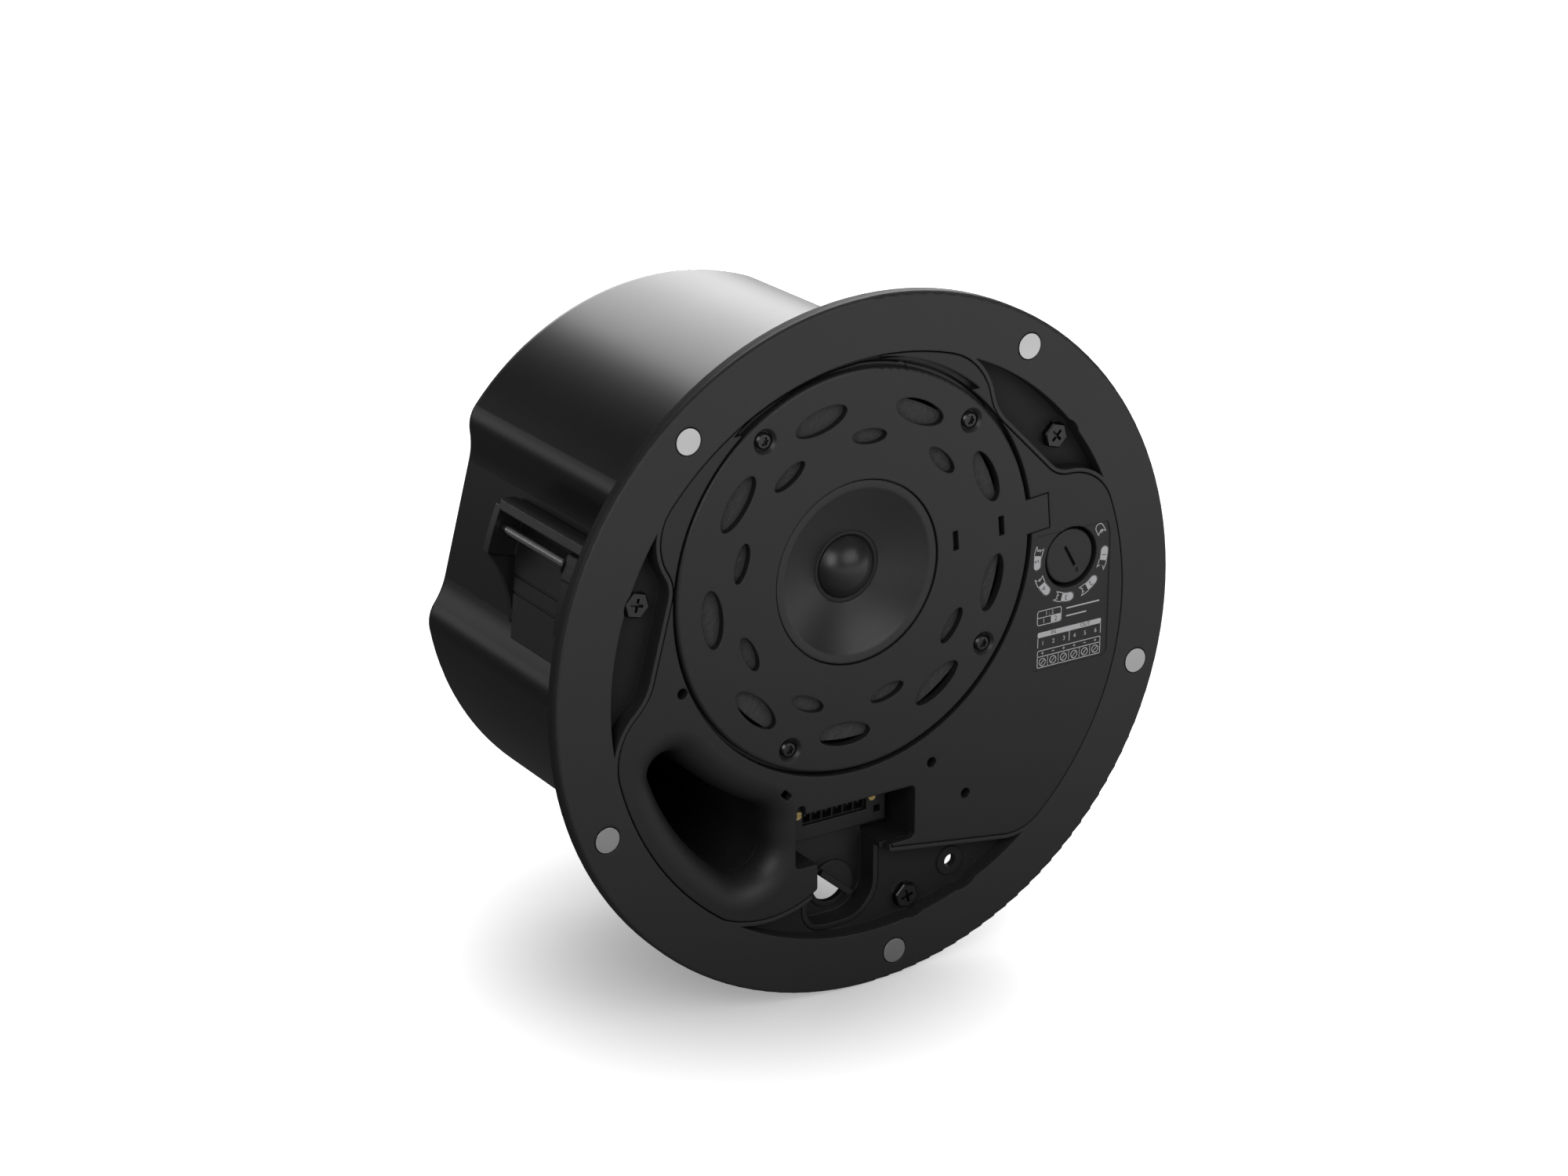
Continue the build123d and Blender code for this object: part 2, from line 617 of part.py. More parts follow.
def driver_screws():
    low = SEAT - BASKET_FLANGE_T
    screws = []
    for angle in DRIVER_SCREW_ANGLES:
        top = SEAT - 0.2
        profile = [(0, low), (1.5, low), (1.5, SEAT - 1.2), (2.6, SEAT - 1.1), (2.6, top), (0, top)]
        screws.append(turned(profile, driver_spot(DRIVER_SCREW_RING, angle)))
    return screws


def waveguide():
    """Shallow horn turned in one piece, with a spigot behind that carries the tweeter."""
    throat = (THROAT_R + 0.9, DOME_BASE)
    lip = (WAVEGUIDE_R - 2.5, FACE)
    spigot = THROAT_R + 7.9
    foot = DOME_BASE - 1.0
    front = Line((WAVEGUIDE_R, FACE), lip)
    dish = ThreePointArc(lip, (WAVEGUIDE_R - 11.8, SEAT + 1.0), throat)
    back = Polyline(
        throat, (throat[0], foot), (spigot, foot), (spigot, SEAT - 2.6), (WAVEGUIDE_R - 7.5, SEAT - 0.8),
        (WAVEGUIDE_R - 4.0, SEAT + 0.2), (WAVEGUIDE_R - 2.1, SEAT + 0.2), (WAVEGUIDE_R - 2.1, SEAT + 0.7),
        (WAVEGUIDE_R, SEAT + 0.7), (WAVEGUIDE_R, FACE),
    )
    face = make_face(Plane.XZ * (front + dish + back))
    return Pos(*DRIVER) * revolve(face, Axis.Z)


def dome_solid(radius, height, skin, base):
    """A spherical cap of even thickness."""
    ball = (radius**2 + height**2) / (2 * height)
    cap = Pos(0, 0, base + height - ball) * (Sphere(ball) - Sphere(ball - skin))
    return Pos(*DRIVER) * (cap & box(-30, 30, -30, 30, base, base + height + 1))


def tweeter_dome():
    coil = pipe(9.9, 9.6, DOME_BASE - 4.5, DOME_BASE, DRIVER)
    ring = pipe(DOME_R, 9.6, DOME_BASE - DOME_SHELL, DOME_BASE, DRIVER)
    return dome_solid(DOME_R, DOME_H, DOME_SHELL, DOME_BASE) + coil + ring


def tweeter_surround():
    """Half roll between the dome and the plate."""
    middle = (DOME_R + 0.1 + THROAT_R + 0.8) / 2
    roll = (THROAT_R + 0.8 - DOME_R - 0.1) / 2
    ring = Plane.XZ * Pos(middle, DOME_BASE - 0.6) * (Circle(roll) - Circle(roll - 0.3))
    top = box(-30, 30, -30, 30, DOME_BASE - 0.6, 5)
    return Pos(*DRIVER) * (revolve(ring, Axis.Z) & top)


def tweeter_motor():
    """Cup magnet with an annular gap for the tweeter coil."""
    body = turned(
        [
            (0, -18), (17.5, -18), (17.5, -6.5), (19.4, -6.5), (19.4, -3.3), (10.5, -3.3),
            (10.5, -8.5), (9.0, -8.5), (9.0, -4.0), (0, -4.0),
        ],
        DRIVER,
    )
    return body


def acoustic_cloth():
    return pipe(CLOTH_R, WAVEGUIDE_R + 2.2, SEAT, SEAT + CLOTH_T, DRIVER)


def cone_line(r):
    """Height of the cone's front skin at a radius."""
    return CONE_TOP - CONE_DEPTH * (1 - (r - COIL_R) / (CONE_R - COIL_R)) ** 0.85


def woofer_cone():
    steps = 6
    inner = COIL_R + 0.7
    radii = [CONE_R + (inner - CONE_R) * k / steps for k in range(steps + 1)]
    front = Spline([(r, cone_line(r)) for r in radii])
    rear = Spline([(r, cone_line(r) - CONE_SKIN) for r in reversed(radii)])
    ends = [Line(front @ 1, rear @ 0), Line(rear @ 1, front @ 0)]
    return Pos(*DRIVER) * revolve(make_face(Plane.XZ * (Curve() + [front, rear] + ends)), Axis.Z)


def dust_cap():
    return dome_solid(CAP_R, CAP_H, 0.6, cone_line(CAP_R + 0.4) + 0.1)


def woofer_surround():
    """Rubber half roll from the cone's edge to the basket."""
    roll = 3.8
    middle = CONE_R + roll + 0.2
    ring = Plane.XZ * Pos(middle, CONE_TOP) * (Circle(roll) - Circle(roll - 0.8))
    body = revolve(ring, Axis.Z) & box(-70, 70, -70, 70, CONE_TOP, 3)
    body += pipe(BASKET_BODY_R - 5.5, middle + roll - 0.8, CONE_TOP, CONE_TOP + 0.8)
    body += pipe(middle - roll + 0.8, CONE_R - 2.0, CONE_TOP, CONE_TOP + 0.8)
    return Pos(*DRIVER) * body


def spider():
    """Corrugated disc between the coil former and a ledge in the basket."""
    inner, outer, wave, height = 13.5, 30.0, 2.75, 0.9
    count = 6
    radii = [inner + wave * (k + 0) for k in range(count + 1)]
    base = -36.0
    top = [(r, base + (height if k % 2 else 0)) for k, r in enumerate(radii)]
    low = [(r, z - 0.5) for r, z in reversed(top)]
    return turned(top + low, DRIVER)


def voice_coil():
    former = pipe(COIL_R + 0.4, COIL_R, -49, -32.2, DRIVER)
    return former + pipe(COIL_R + 0.8, COIL_R + 0.3, -48, -41, DRIVER)


def top_plate():
    low = PLATE_FRONT - PLATE_T
    return pipe(PLATE_R, COIL_R + 0.8 + COIL_GAP, low, PLATE_FRONT, DRIVER)


def ring_magnet():
    high = PLATE_FRONT - PLATE_T
    return pipe(MAGNET_R, 17.5, high - MAGNET_H, high, DRIVER)


def pole_yoke():
    high = PLATE_FRONT - PLATE_T - MAGNET_H
    body = drum(PLATE_R, high - PLATE_T, high, DRIVER) + drum(COIL_R - COIL_GAP, high, PLATE_FRONT, DRIVER)
    body = fillet(body.edges().filter_by(GeomType.CIRCLE).sort_by(Axis.Z)[0], 1.5)
    return body - drum(4.0, high - PLATE_T - 1, PLATE_FRONT + 1, DRIVER)


# Clamps
def fin_outline():
    """Face of the slanted fin, rounded on its outer side."""
    top = (TOWER_R - 0.6, -0.5)
    arc = RadiusArc(top, (TOWER_INNER - 0.9, FIN_END), FIN_R)
    side = Polyline(arc @ 1, (CAN_FLAT - 2, FIN_END), (CAN_FLAT - 2, top[1]), top)
    return make_face(Curve() + [arc, side])


def fin_slant(front, thick):
    """A slanted layer that the fin or the end of the panel is cut from."""
    drop = FIN_SLOPE * FIN_END * 1.2
    far = FIN_END * 1.2
    start = -front - drop * 0.1
    side = Polyline(
        (-0.1 * far, start), (far, start + 1.1 * drop), (far, start + 1.1 * drop - thick),
        (-0.1 * far, start - thick), close=True,
    )
    return extrude(Plane.YZ * make_face(side), amount=FLANGE_R)


def clamp_tower():
    """Guide with a side wall, a foot on the flange, a rear wall, a fin and a panel on the can."""
    low, high = TOWER_SIDE, TOWER_SIDE + TOWER_WALL
    hood = -TOWER_REAR + HOOD_R - 4.0
    wall = box(TOWER_INNER, FLANGE_R, low, high, hood, -COLLAR_H)
    round_end = extrude(Plane.XZ * (Pos(CAN_FLAT, hood) * Circle(HOOD_R)), amount=FLANGE_R, both=True)
    wall += together(round_end & box(TOWER_INNER, FLANGE_R, low, high, hood - HOOD_R, hood + 1))
    band = box(TOWER_R - BAND, FLANGE_R, low, high, -TOWER_REAR, -COLLAR_H)
    foot = box(TOWER_INNER, FLANGE_R, low, 1.0, -COLLAR_H - TOWER_FOOT, -COLLAR_H)
    rear = box(TOWER_INNER, FLANGE_R, high - 1.0, 0, -TOWER_REAR, -TOWER_REAR + TOWER_BACK_T)
    rear += box(TOWER_R - BAND, FLANGE_R, low, high, -TOWER_REAR, -TOWER_REAR + TOWER_BACK_T)
    rear += together(slab(fin_outline(), -TOWER_REAR - 9, -BOX_FLOOR) & fin_slant(FIN_FRONT, FIN_T))
    body = together(wall + band + foot + rear) & slab(Circle(TOWER_R), -CAN_REAR, 1)
    panel = box(CAN_FLAT, PANEL_OUT, low, FIN_END + 0.3, -TOWER_REAR + 0.5, CAN_FRONT - 0.1)
    panel -= fin_slant(FIN_FRONT - 2.0, HOOD_R)
    for at in PANEL_GROOVES:
        panel -= box(PANEL_OUT - 0.5, FLANGE_R, at, at + 0.8, -TOWER_REAR, 0)
    body = together(body) + panel
    body -= drum(PIN_R + RUNNING, -SCREW_TAIL - 4.2, -SCREW_TAIL, (SCREW_X, SCREW_Y))
    body -= drum(THREAD_R + 0.3, -COLLAR_H - TOWER_FOOT - 1, 0, (SCREW_X, SCREW_Y))
    return biggest(body)


def clamp_screw():
    """Hexagonal head with a cross recess, washer and shank; its thread is left plain."""
    head = extrude(Pos(0, 0, WELL_FLOOR + 0.7) * RegularPolygon(4.05, 6, major_radius=False), 2.5)
    head = chamfer(head.edges().group_by(Axis.Z)[-1], 0.4)
    cross = Rectangle(4.6, 0.95) + Rectangle(0.95, 4.6)
    head -= slab(cross, WELL_FLOOR + 1.9, 9)
    washer = drum(4.6, WELL_FLOOR + 0.1, WELL_FLOOR + 0.7)
    shank = drum(THREAD_R, -SCREW_TAIL, WELL_FLOOR + 0.5) + drum(PIN_R, -SCREW_TAIL - 4.0, -SCREW_TAIL)
    return Pos(SCREW_X, SCREW_Y) * (head + washer + shank)


def clamp_nut():
    """Flanged bush on the thread, which the arm turns about."""
    front, rear = -ARM_FRONT, -ARM_FRONT - ARM_H
    body = drum(NUT_R, rear - 1.0, front + 1.0)
    body += drum(4.4, front + 0.1, front + 1.0) + drum(4.4, rear - 1.0, rear - 0.1)
    body -= drum(THREAD_R + RUNNING, -100, 0)
    return Pos(SCREW_X, SCREW_Y) * body


def clamp_arm():
    """Curved arm that lies along the bite when stowed, with ribs on its clamping face."""
    front, rear = -ARM_FRONT, -ARM_FRONT - ARM_H
    reach = SCREW_Y + ARM_REACH
    outline = Circle(TOWER_R - 1.0) - Pos(0, 0) * Circle(SCREW_X - 4.9)
    strip = Pos(93, (SCREW_Y + reach) / 2) * Rectangle(20, ARM_REACH)
    flat = Pos(TOWER_INNER + 1.9 + 10, 0) * Rectangle(20, 60)
    face = outline & strip & flat
    face += Pos(SCREW_X, SCREW_Y) * Circle(HUB_R)
    face = face.faces().sort_by(SortBy.AREA)[-1] & Circle(TOWER_R - 0.2)
    body = slab(face, rear, front)
    body += slab(face, front, front + CLAW_RISE) & box(80, 110, reach - CLAW_LENGTH, reach + 1, -99, 0)
    tip = body.edges().filter_by(Axis.Z).sort_by(Axis.Y)[-4:]
    body = fillet(tip, 1.8)
    for k in range(3):
        groove = reach - 2.6 - 2.4 * k
        body -= box(88, 100, groove, groove + 0.9, front + CLAW_RISE - 0.7, front + 9)
    body -= drum(NUT_R + RUNNING, rear - 1, front + 1, (SCREW_X, SCREW_Y))
    return biggest(body)


def steel_pads():
    return [drum(PAD_R, FACE - PAD_T, FACE + 0.1, spot) for spot in around(PAD_COUNT, PAD_RING, PAD_START)]


# Tap selector
def tap_knob():
    high = FACE - KNOB_SINK
    body = drum(KNOB_R, high - KNOB_T, high)
    body = fillet(body.edges().filter_by(GeomType.CIRCLE).sort_by(Axis.Z)[-1], 0.6)
    body += drum(3.0, high - KNOB_T - 7.5, high - KNOB_T)
    body -= box(-4.3, 4.3, -0.55, 0.55, high - 1.6, high + 1)
    body -= slab(make_face(Polyline((5.6, 0.8), (5.6, -0.8), (7.4, 0), close=True)), high - 0.4, high + 1)
    return Pos(TAP_X, TAP_Y) * Rot(0, 0, POINTER_ANGLE) * body


def tap_switch():
    """Rotary switch behind the selector, with six lugs."""
    low = -3.0 - SWITCH_H
    body = drum(SWITCH_R, low, -3.0) - drum(3.0 + RUNNING, -9.2, 0)
    for x, y in around(HEADER_WAYS, 9.0, 30):
        body += box(x - 0.4, x + 0.4, y - 1.5, y + 1.5, low - 5, low)
    return Pos(TAP_X, TAP_Y) * body


# Terminal compartment
def terminal_tray():
    window = Pos(
        (TERMINAL_LEFT + TERMINAL_RIGHT) / 2, (TERMINAL_TOP + TERMINAL_BOTTOM) / 2
    ) * Rectangle(TERMINAL_RIGHT - TERMINAL_LEFT, TERMINAL_TOP - TERMINAL_BOTTOM)
    body = slab(tray_outline(), -BOX_FLOOR - TRAY_WALL, SEAT)
    body += slab(trough_outline(TRAY_WALL), -TRAY_FLOOR - TRAY_WALL, WELL_FLOOR)
    body -= slab(window, -BOX_FLOOR, FACE)
    body -= slab(trough_outline(), -TRAY_FLOOR, FACE)
    top = HEADER_BOTTOM - 0.4
    body += box(TROUGH_LEFT, TROUGH_RIGHT, TERMINAL_BOTTOM - 1, top, -BOX_FLOOR - 0.5, -TRAY_FLOOR)
    body += drum(CABLE_HOLE_R + 1.8, -TRAY_FLOOR - 0.5, -TRAY_FLOOR + 0.6, (CABLE_X, CABLE_Y))
    body -= drum(CABLE_HOLE_R, -20, 0, (CABLE_X, CABLE_Y))
    return biggest(body)


def cable_clamp():
    """Half plate that covers the upper half of the cable hole, with a bar to press on."""
    low = -TRAY_FLOOR + 0.65
    half = Circle(CABLE_HOLE_R + 1.7) & Pos(0, 10) * Rectangle(40, 20)
    body = slab(half, low, low + 1.2) + box(-CABLE_HOLE_R - 1.2, CABLE_HOLE_R + 1.2, 0, 2.2, low, low + 3.2)
    return Pos(CABLE_X, CABLE_Y) * Rot(0, 0, CABLE_CHORD_ANGLE) * body


def terminal_header():
    """Six-way terminal block; each cell has a pin."""
    body = box(HEADER_LEFT, HEADER_RIGHT, HEADER_BOTTOM, HEADER_TOP, -BOX_FLOOR, -HEADER_FRONT)
    reach = HEADER_PITCH * HEADER_WAYS / 2
    low, high = HEADER_CELL
    body -= box(HEADER_CENTRE_X - reach, HEADER_CENTRE_X + reach, low, high, -HEADER_FRONT - 1.6, 0)
    for k in range(HEADER_WAYS):
        x = HEADER_CENTRE_X + HEADER_PITCH * (k - (HEADER_WAYS - 1) / 2)
        cell = box(x - 1.8, x + 1.8, low + 0.3, high - 0.3, -HEADER_FRONT - 4.8, 0)
        post = Pos(x, HEADER_PIN_Y) * Rectangle(1.0, 1.0)
        body = body - cell + slab(post, -HEADER_FRONT - 5, -HEADER_FRONT - 1.9)
    for x in HEADER_SCREW_X:
        body -= drum(1.15, -12, 0, (x, HEADER_SCREW_Y))
    key_x, key_y, key = HEADER_KEY
    return biggest(body - box(key_x - key / 2, key_x + key / 2, key_y - key / 2, key_y + key / 2, -10, 0))


def header_screws():
    screws = []
    for x in HEADER_SCREW_X:
        head = drum(HEADER_SCREW_R, -HEADER_FRONT + 0.05, -HEADER_FRONT + 0.9)
        head += drum(1.1, -11.5, -HEADER_FRONT + 0.1)
        head -= box(-2, 2, -0.25, 0.25, -HEADER_FRONT + 0.5, 0)
        screws.append(Pos(x, HEADER_SCREW_Y) * head)
    return screws


# Inside the can, on its rear wall
def crossover_board():
    left, right, low, high = BOARD
    body = box(left, right, low, high, BOARD_HEIGHT, BOARD_HEIGHT + BOARD_T)
    for spot in PILLAR_SPOTS:
        body -= drum(1.6, -CAN_REAR, BOARD_HEIGHT + 9, spot)
    return body


def board_pillars():
    pillars = []
    for spot in PILLAR_SPOTS:
        stud = drum(1.55, BOARD_HEIGHT, BOARD_HEIGHT + 3.4, spot)
        pillars.append(drum(PILLAR_R, REAR_INSIDE, BOARD_HEIGHT, spot) + stud)
    return pillars


def capacitors():
    low = BOARD_HEIGHT + BOARD_T
    return [drum(r, low, low + h, (x, y)) for x, y, r, h in CAPACITORS]


def inductors():
    low = BOARD_HEIGHT + BOARD_T
    return [pipe(r, bore, low, low + h, (x, y)) for x, y, r, bore, h in COILS]


def transformer_core():
    """Laminated core with two windows, standing on its strap."""
    low = REAR_INSIDE + 1.2
    body = box(32, 72, -26, 22, low, low + 32)
    for y0, y1 in ((-18, -6), (2, 14)):
        body -= box(20, 80, y0, y1, low + 7, low + 25)
    return body


def transformer_winding():
    low = REAR_INSIDE + 1.2
    body = box(25, 79, -17.6, 13.6, low + 7.4, low + 24.6)
    return body - box(31.8, 72.2, -6.3, 2.3, low + 6, low + 26)


def transformer_strap():
    low = REAR_INSIDE
    foot = box(26, 78, -40, 36, low, low + 1.2)
    for y in (-34.5, 30.5):
        foot -= drum(2.1, low - 1, low + 2, (52, y))
    return foot


def damping_felt():
    """Felt against the can's side wall, in the upper half."""
    ring = offset(CAN_INSIDE, amount=-0.3) - offset(CAN_INSIDE, amount=-0.3 - FELT_T)
    body = slab(ring, REAR_INSIDE + 8, FELT_FRONT) & box(-CAN_R, CAN_R, FELT_LOW, CAN_R, -CAN_REAR, 0)
    return biggest(body)


PIECES = {
    "mounting_flange": mounting_flange,
    "baffle": baffle,
    "port_duct": port_duct,
    "back_can": back_can,
    "can_gasket": can_gasket,
    "cover_disc": cover_disc,
    "cover_screws": cover_screws,
    "acoustic_cloth": acoustic_cloth,
    "waveguide": waveguide,
    "tweeter_dome": tweeter_dome,
    "tweeter_surround": tweeter_surround,
    "tweeter_motor": tweeter_motor,
    "basket": basket,
    "driver_screws": driver_screws,
    "woofer_cone": woofer_cone,
    "woofer_surround": woofer_surround,
    "dust_cap": dust_cap,
    "spider": spider,
    "voice_coil": voice_coil,
    "top_plate": top_plate,
    "ring_magnet": ring_magnet,
    "pole_yoke": pole_yoke,
    "steel_pads": steel_pads,
    "tap_knob": tap_knob,
    "tap_switch": tap_switch,
    "terminal_tray": terminal_tray,
    "terminal_header": terminal_header,
    "header_screws": header_screws,
    "cable_clamp": cable_clamp,
    "crossover_board": crossover_board,
    "board_pillars": board_pillars,
    "capacitors": capacitors,
    "inductors": inductors,
    "transformer_core": transformer_core,
    "transformer_winding": transformer_winding,
    "transformer_strap": transformer_strap,
    "damping_felt": damping_felt,
}
CLAMP_PIECES = {
    "clamp_tower": clamp_tower,
    "clamp_screw": clamp_screw,
    "clamp_nut": clamp_nut,
    "clamp_arm": clamp_arm,
}

for name, make in PIECES.items():
    solids = make()
    put_up(name, *(solids if isinstance(solids, list) else [solids]))
for name, make in CLAMP_PIECES.items():
    solid = make()
    for number, angle in enumerate(BITE_ANGLES, start=1):
        placed = in_bite(solid, angle)
        if make is clamp_tower:
            placed -= slab(offset(CAN, amount=TOWER_GAP), -CAN_REAR, 0)
            placed = biggest(placed - slab(trough_outline(TRAY_WALL + TRAY_FIT), -BOX_FLOOR, 0))
        put_up(f"{name}_{number}", placed)
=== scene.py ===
# %% [markdown]
# A ceiling speaker, dressed for a product picture
#
# The shapes of this speaker come from its construction model: every moulded, turned and
# pressed piece is already there at its real size. What is left for this script is what a
# maker adds last: the grain of the mouldings, the gloss of the can, real threads, the shaggy
# cloth, printed marks, and the light that shows them.

# %% Load the frame
import json
from math import cos, hypot, pi, radians, sin

import bmesh
import bpy
from mathutils import Matrix, Vector, noise


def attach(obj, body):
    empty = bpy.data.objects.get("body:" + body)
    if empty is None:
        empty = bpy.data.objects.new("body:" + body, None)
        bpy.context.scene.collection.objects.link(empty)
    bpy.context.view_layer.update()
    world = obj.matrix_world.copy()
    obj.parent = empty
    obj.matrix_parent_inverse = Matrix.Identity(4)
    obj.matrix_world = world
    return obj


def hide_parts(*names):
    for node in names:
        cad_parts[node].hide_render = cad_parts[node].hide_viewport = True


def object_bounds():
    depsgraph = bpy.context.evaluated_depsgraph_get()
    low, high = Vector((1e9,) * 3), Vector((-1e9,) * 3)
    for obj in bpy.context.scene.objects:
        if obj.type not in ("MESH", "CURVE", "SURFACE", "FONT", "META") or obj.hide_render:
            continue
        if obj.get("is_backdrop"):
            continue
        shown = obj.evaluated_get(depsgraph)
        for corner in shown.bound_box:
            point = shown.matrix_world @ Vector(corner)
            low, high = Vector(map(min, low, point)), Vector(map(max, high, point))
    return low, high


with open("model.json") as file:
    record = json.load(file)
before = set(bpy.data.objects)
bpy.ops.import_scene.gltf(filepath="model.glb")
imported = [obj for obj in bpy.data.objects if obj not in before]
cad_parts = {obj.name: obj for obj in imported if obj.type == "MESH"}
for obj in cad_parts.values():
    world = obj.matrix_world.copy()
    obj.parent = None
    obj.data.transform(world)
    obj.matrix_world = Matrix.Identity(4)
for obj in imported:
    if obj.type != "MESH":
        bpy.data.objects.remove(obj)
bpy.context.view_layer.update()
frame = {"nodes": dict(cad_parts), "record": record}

print("pieces in the frame:", len(frame["nodes"]))

# %% [markdown]
# Tools that later cells share. The front of the flange looks along -Y, X runs to the right
# and Z up, so a point on the front is written as (across, up) in millimetres and a depth
# behind the ceiling side of the flange. place() turns that into the frame's metres. Round
# pieces are drawn as rings of points that bridge() joins, because a ring can follow any
# section, which a ready-made cylinder can't.

# %% Places, rings and pieces
MM = 0.001


def place(across, up, depth):
    """A point in the frame from millimetres across, up and behind the ceiling face."""
    return Vector((across * MM, depth * MM, up * MM))


def around(centre, radius, angle):
    """The point (across, up) at a radius and an angle in radians about a centre."""
    return centre[0] + radius * cos(angle), centre[1] + radius * sin(angle)


def bridge(bm, ring, ahead):
    """Four-sided faces between two closed rings of as many points."""
    faces = []
    for k in range(len(ring)):
        after = (k + 1) % len(ring)
        faces.append(bm.faces.new((ring[k], ring[after], ahead[after], ahead[k])))
    return faces


def new_piece(name, bm, body="speaker", smooth=True):
    """Turn a finished bmesh into an object that rides on a body."""
    mesh = bpy.data.meshes.new(name)
    bm.to_mesh(mesh)
    bm.free()
    for face in mesh.polygons:
        face.use_smooth = smooth
    obj = bpy.data.objects.new(name, mesh)
    bpy.context.scene.collection.objects.link(obj)
    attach(obj, body)
    return obj


print("10 mm up and 5 mm deep is", tuple(round(v, 4) for v in place(0.0, 10.0, 5.0)))

# %% [markdown]
# The camera stands low and to the left, and far enough back for a long lens, so that the
# round flange stays nearly true. Its place and its lens were worked out from the flange's
# outline and the can behind it. The matrix is built from the directions that the camera
# looks along and calls right, so there is no roll to guess.

# %% Camera
SENSOR_WIDTH = 36.0
LENS = 78.59
NEAREST_SEEN = 0.01
EYE = Vector((-0.5870, -0.85555, 0.4144))
RIGHT = Vector((0.83947, -0.54340, 0.0)).normalized()
FORWARD = Vector((0.50800, 0.78479, -0.35501)).normalized()

camera_data = bpy.data.cameras.new("camera")
camera_data.sensor_width = SENSOR_WIDTH
camera_data.lens = LENS
camera_data.clip_start = NEAREST_SEEN
camera = bpy.data.objects.new("camera", camera_data)
bpy.context.scene.collection.objects.link(camera)
turned = Matrix((RIGHT, RIGHT.cross(FORWARD), -FORWARD)).transposed()
camera.matrix_world = Matrix.Translation(EYE) @ turned.to_4x4()
bpy.context.scene.camera = camera
print("camera", tuple(round(v, 3) for v in EYE), "lens", LENS)

# %% [markdown]
# A product picture of a black object is made by what it mirrors, so four soft lights stand
# where the speaker shows them as reflections. The broad one is behind and above: the can's
# top sees it at a low angle and answers with a long bright sweep. A weak one, behind on the
# left, lifts the can's side. The key hangs over the front on the left and grades the flange
# from top to bottom, and the last one, over the front on the right, fills the dish.

# %% Lights
MIDDLE = (0.0, 0.05, 0.0)
CAN_TOP = (0.0, 0.05, 0.1)


def soft_light(name, spot, target, width, height, watts):
    """A soft rectangle of light at a spot that faces a target, all in metres."""
    data = bpy.data.lights.new(name, "AREA")
    data.shape = "RECTANGLE"
    data.size = width
    data.size_y = height
    data.energy = watts
    obj = bpy.data.objects.new(name, data)
    bpy.context.scene.collection.objects.link(obj)
    obj.location = spot
    obj.rotation_euler = (Vector(target) - Vector(spot)).to_track_quat("-Z", "Y").to_euler()


soft_light("light_back", (0.86, 1.50, 0.80), CAN_TOP, 1.6, 1.3, 26.0)
soft_light("light_left", (-1.25, 1.50, 0.38), MIDDLE, 1.8, 0.6, 2.4)
soft_light("light_key", (-1.10, -0.90, 0.70), MIDDLE, 0.7, 1.0, 7.5)
soft_light("light_front", (0.40, -1.20, 0.66), MIDDLE, 1.2, 0.8, 5.6)

# %% [markdown]
# The world has two looks. The camera's own rays find plain white behind the speaker. All
# other rays, those that light the speaker and those that it mirrors, find a quiet grey,
# which leaves the drawing of its edges to the four lights.

# %% World
QUIET_GREY = (0.09, 0.09, 0.092, 1.0)
WHITE = (1.0, 1.0, 1.0, 1.0)


def split_by_camera(tree, output_kind, for_object, for_camera):
    """One shader for the rays that reach the speaker, one for the camera's own rays."""
    output = tree.nodes.new(output_kind)
    rays = tree.nodes.new("ShaderNodeLightPath")
    choose = tree.nodes.new("ShaderNodeMixShader")
    tree.links.new(rays.outputs["Is Camera Ray"], choose.inputs["Fac"])
    tree.links.new(for_object, choose.inputs[1])
    tree.links.new(for_camera, choose.inputs[2])
    tree.links.new(choose.outputs["Shader"], output.inputs["Surface"])


def even_sky(tree, colour):
    """A background of one colour at strength 1."""
    sky = tree.nodes.new("ShaderNodeBackground")
    sky.inputs["Color"].default_value = colour
    sky.inputs["Strength"].default_value = 1.0
    return sky.outputs["Background"]


world = bpy.data.worlds.new("studio")
bpy.context.scene.world = world
world.use_nodes = True
sky_tree = world.node_tree
sky_tree.nodes.clear()
skies = even_sky(sky_tree, QUIET_GREY), even_sky(sky_tree, WHITE)
split_by_camera(sky_tree, "ShaderNodeOutputWorld", *skies)
bpy.context.scene.view_settings.view_transform = "Standard"
print("world nodes:", len(sky_tree.nodes))

# %% [markdown]
# The floor is a large pale sheet just under the flange's lowest point, and it has two looks
# as well. The camera sees pale paper that takes the soft shadow, with a painted shadow on
# top: near the shadow's middle its colour is darker and its glow weaker, and with the
# distance from there it glows more and more by itself, until it runs out to white. The
# speaker sees a floor with painted shade and painted light: dark close by, where its own
# shadow lies, and glowing brighter far ahead, which keeps the low half of the front from
# turning grey.

# %% Floor
FLOOR_LEVEL = -0.1201
FLOOR_REACH = 6.0
FLOOR_AHEAD = (0.54, -0.84, 0.0)
SHADOW_MIDDLE = (-0.02, 0.05, 0.0)
# Painted shade and light on the floor that the speaker sees: dark near it, glowing far ahead.
FLOOR_PAINTED_SHADE_FOR_OBJECT = {"span": (-0.15, 0.75), "colour": (0.06, 0.4), "glow": (0.04, 0.75)}
# Painted shadow on the floor that the camera sees: darker, with less glow, near the shadow's
# middle.
FLOOR_PAINTED_SHADOW_FOR_CAMERA = {"span": (0.02, 0.16), "colour": (0.7, 0.8), "glow": (0.2, 1.0)}


def faded(tree, measure, span, ends, way="LINEAR"):
    """A value that goes from a near to a far end while a measure crosses a span."""
    fade = tree.nodes.new("ShaderNodeMapRange")
    fade.interpolation_type = way
    sockets = ("From Min", "From Max", "To Min", "To Max")
    for socket, value in zip(sockets, (*span, *ends)):
        fade.inputs[socket].default_value = value
    tree.links.new(measure, fade.inputs["Value"])
    return fade.outputs["Result"]


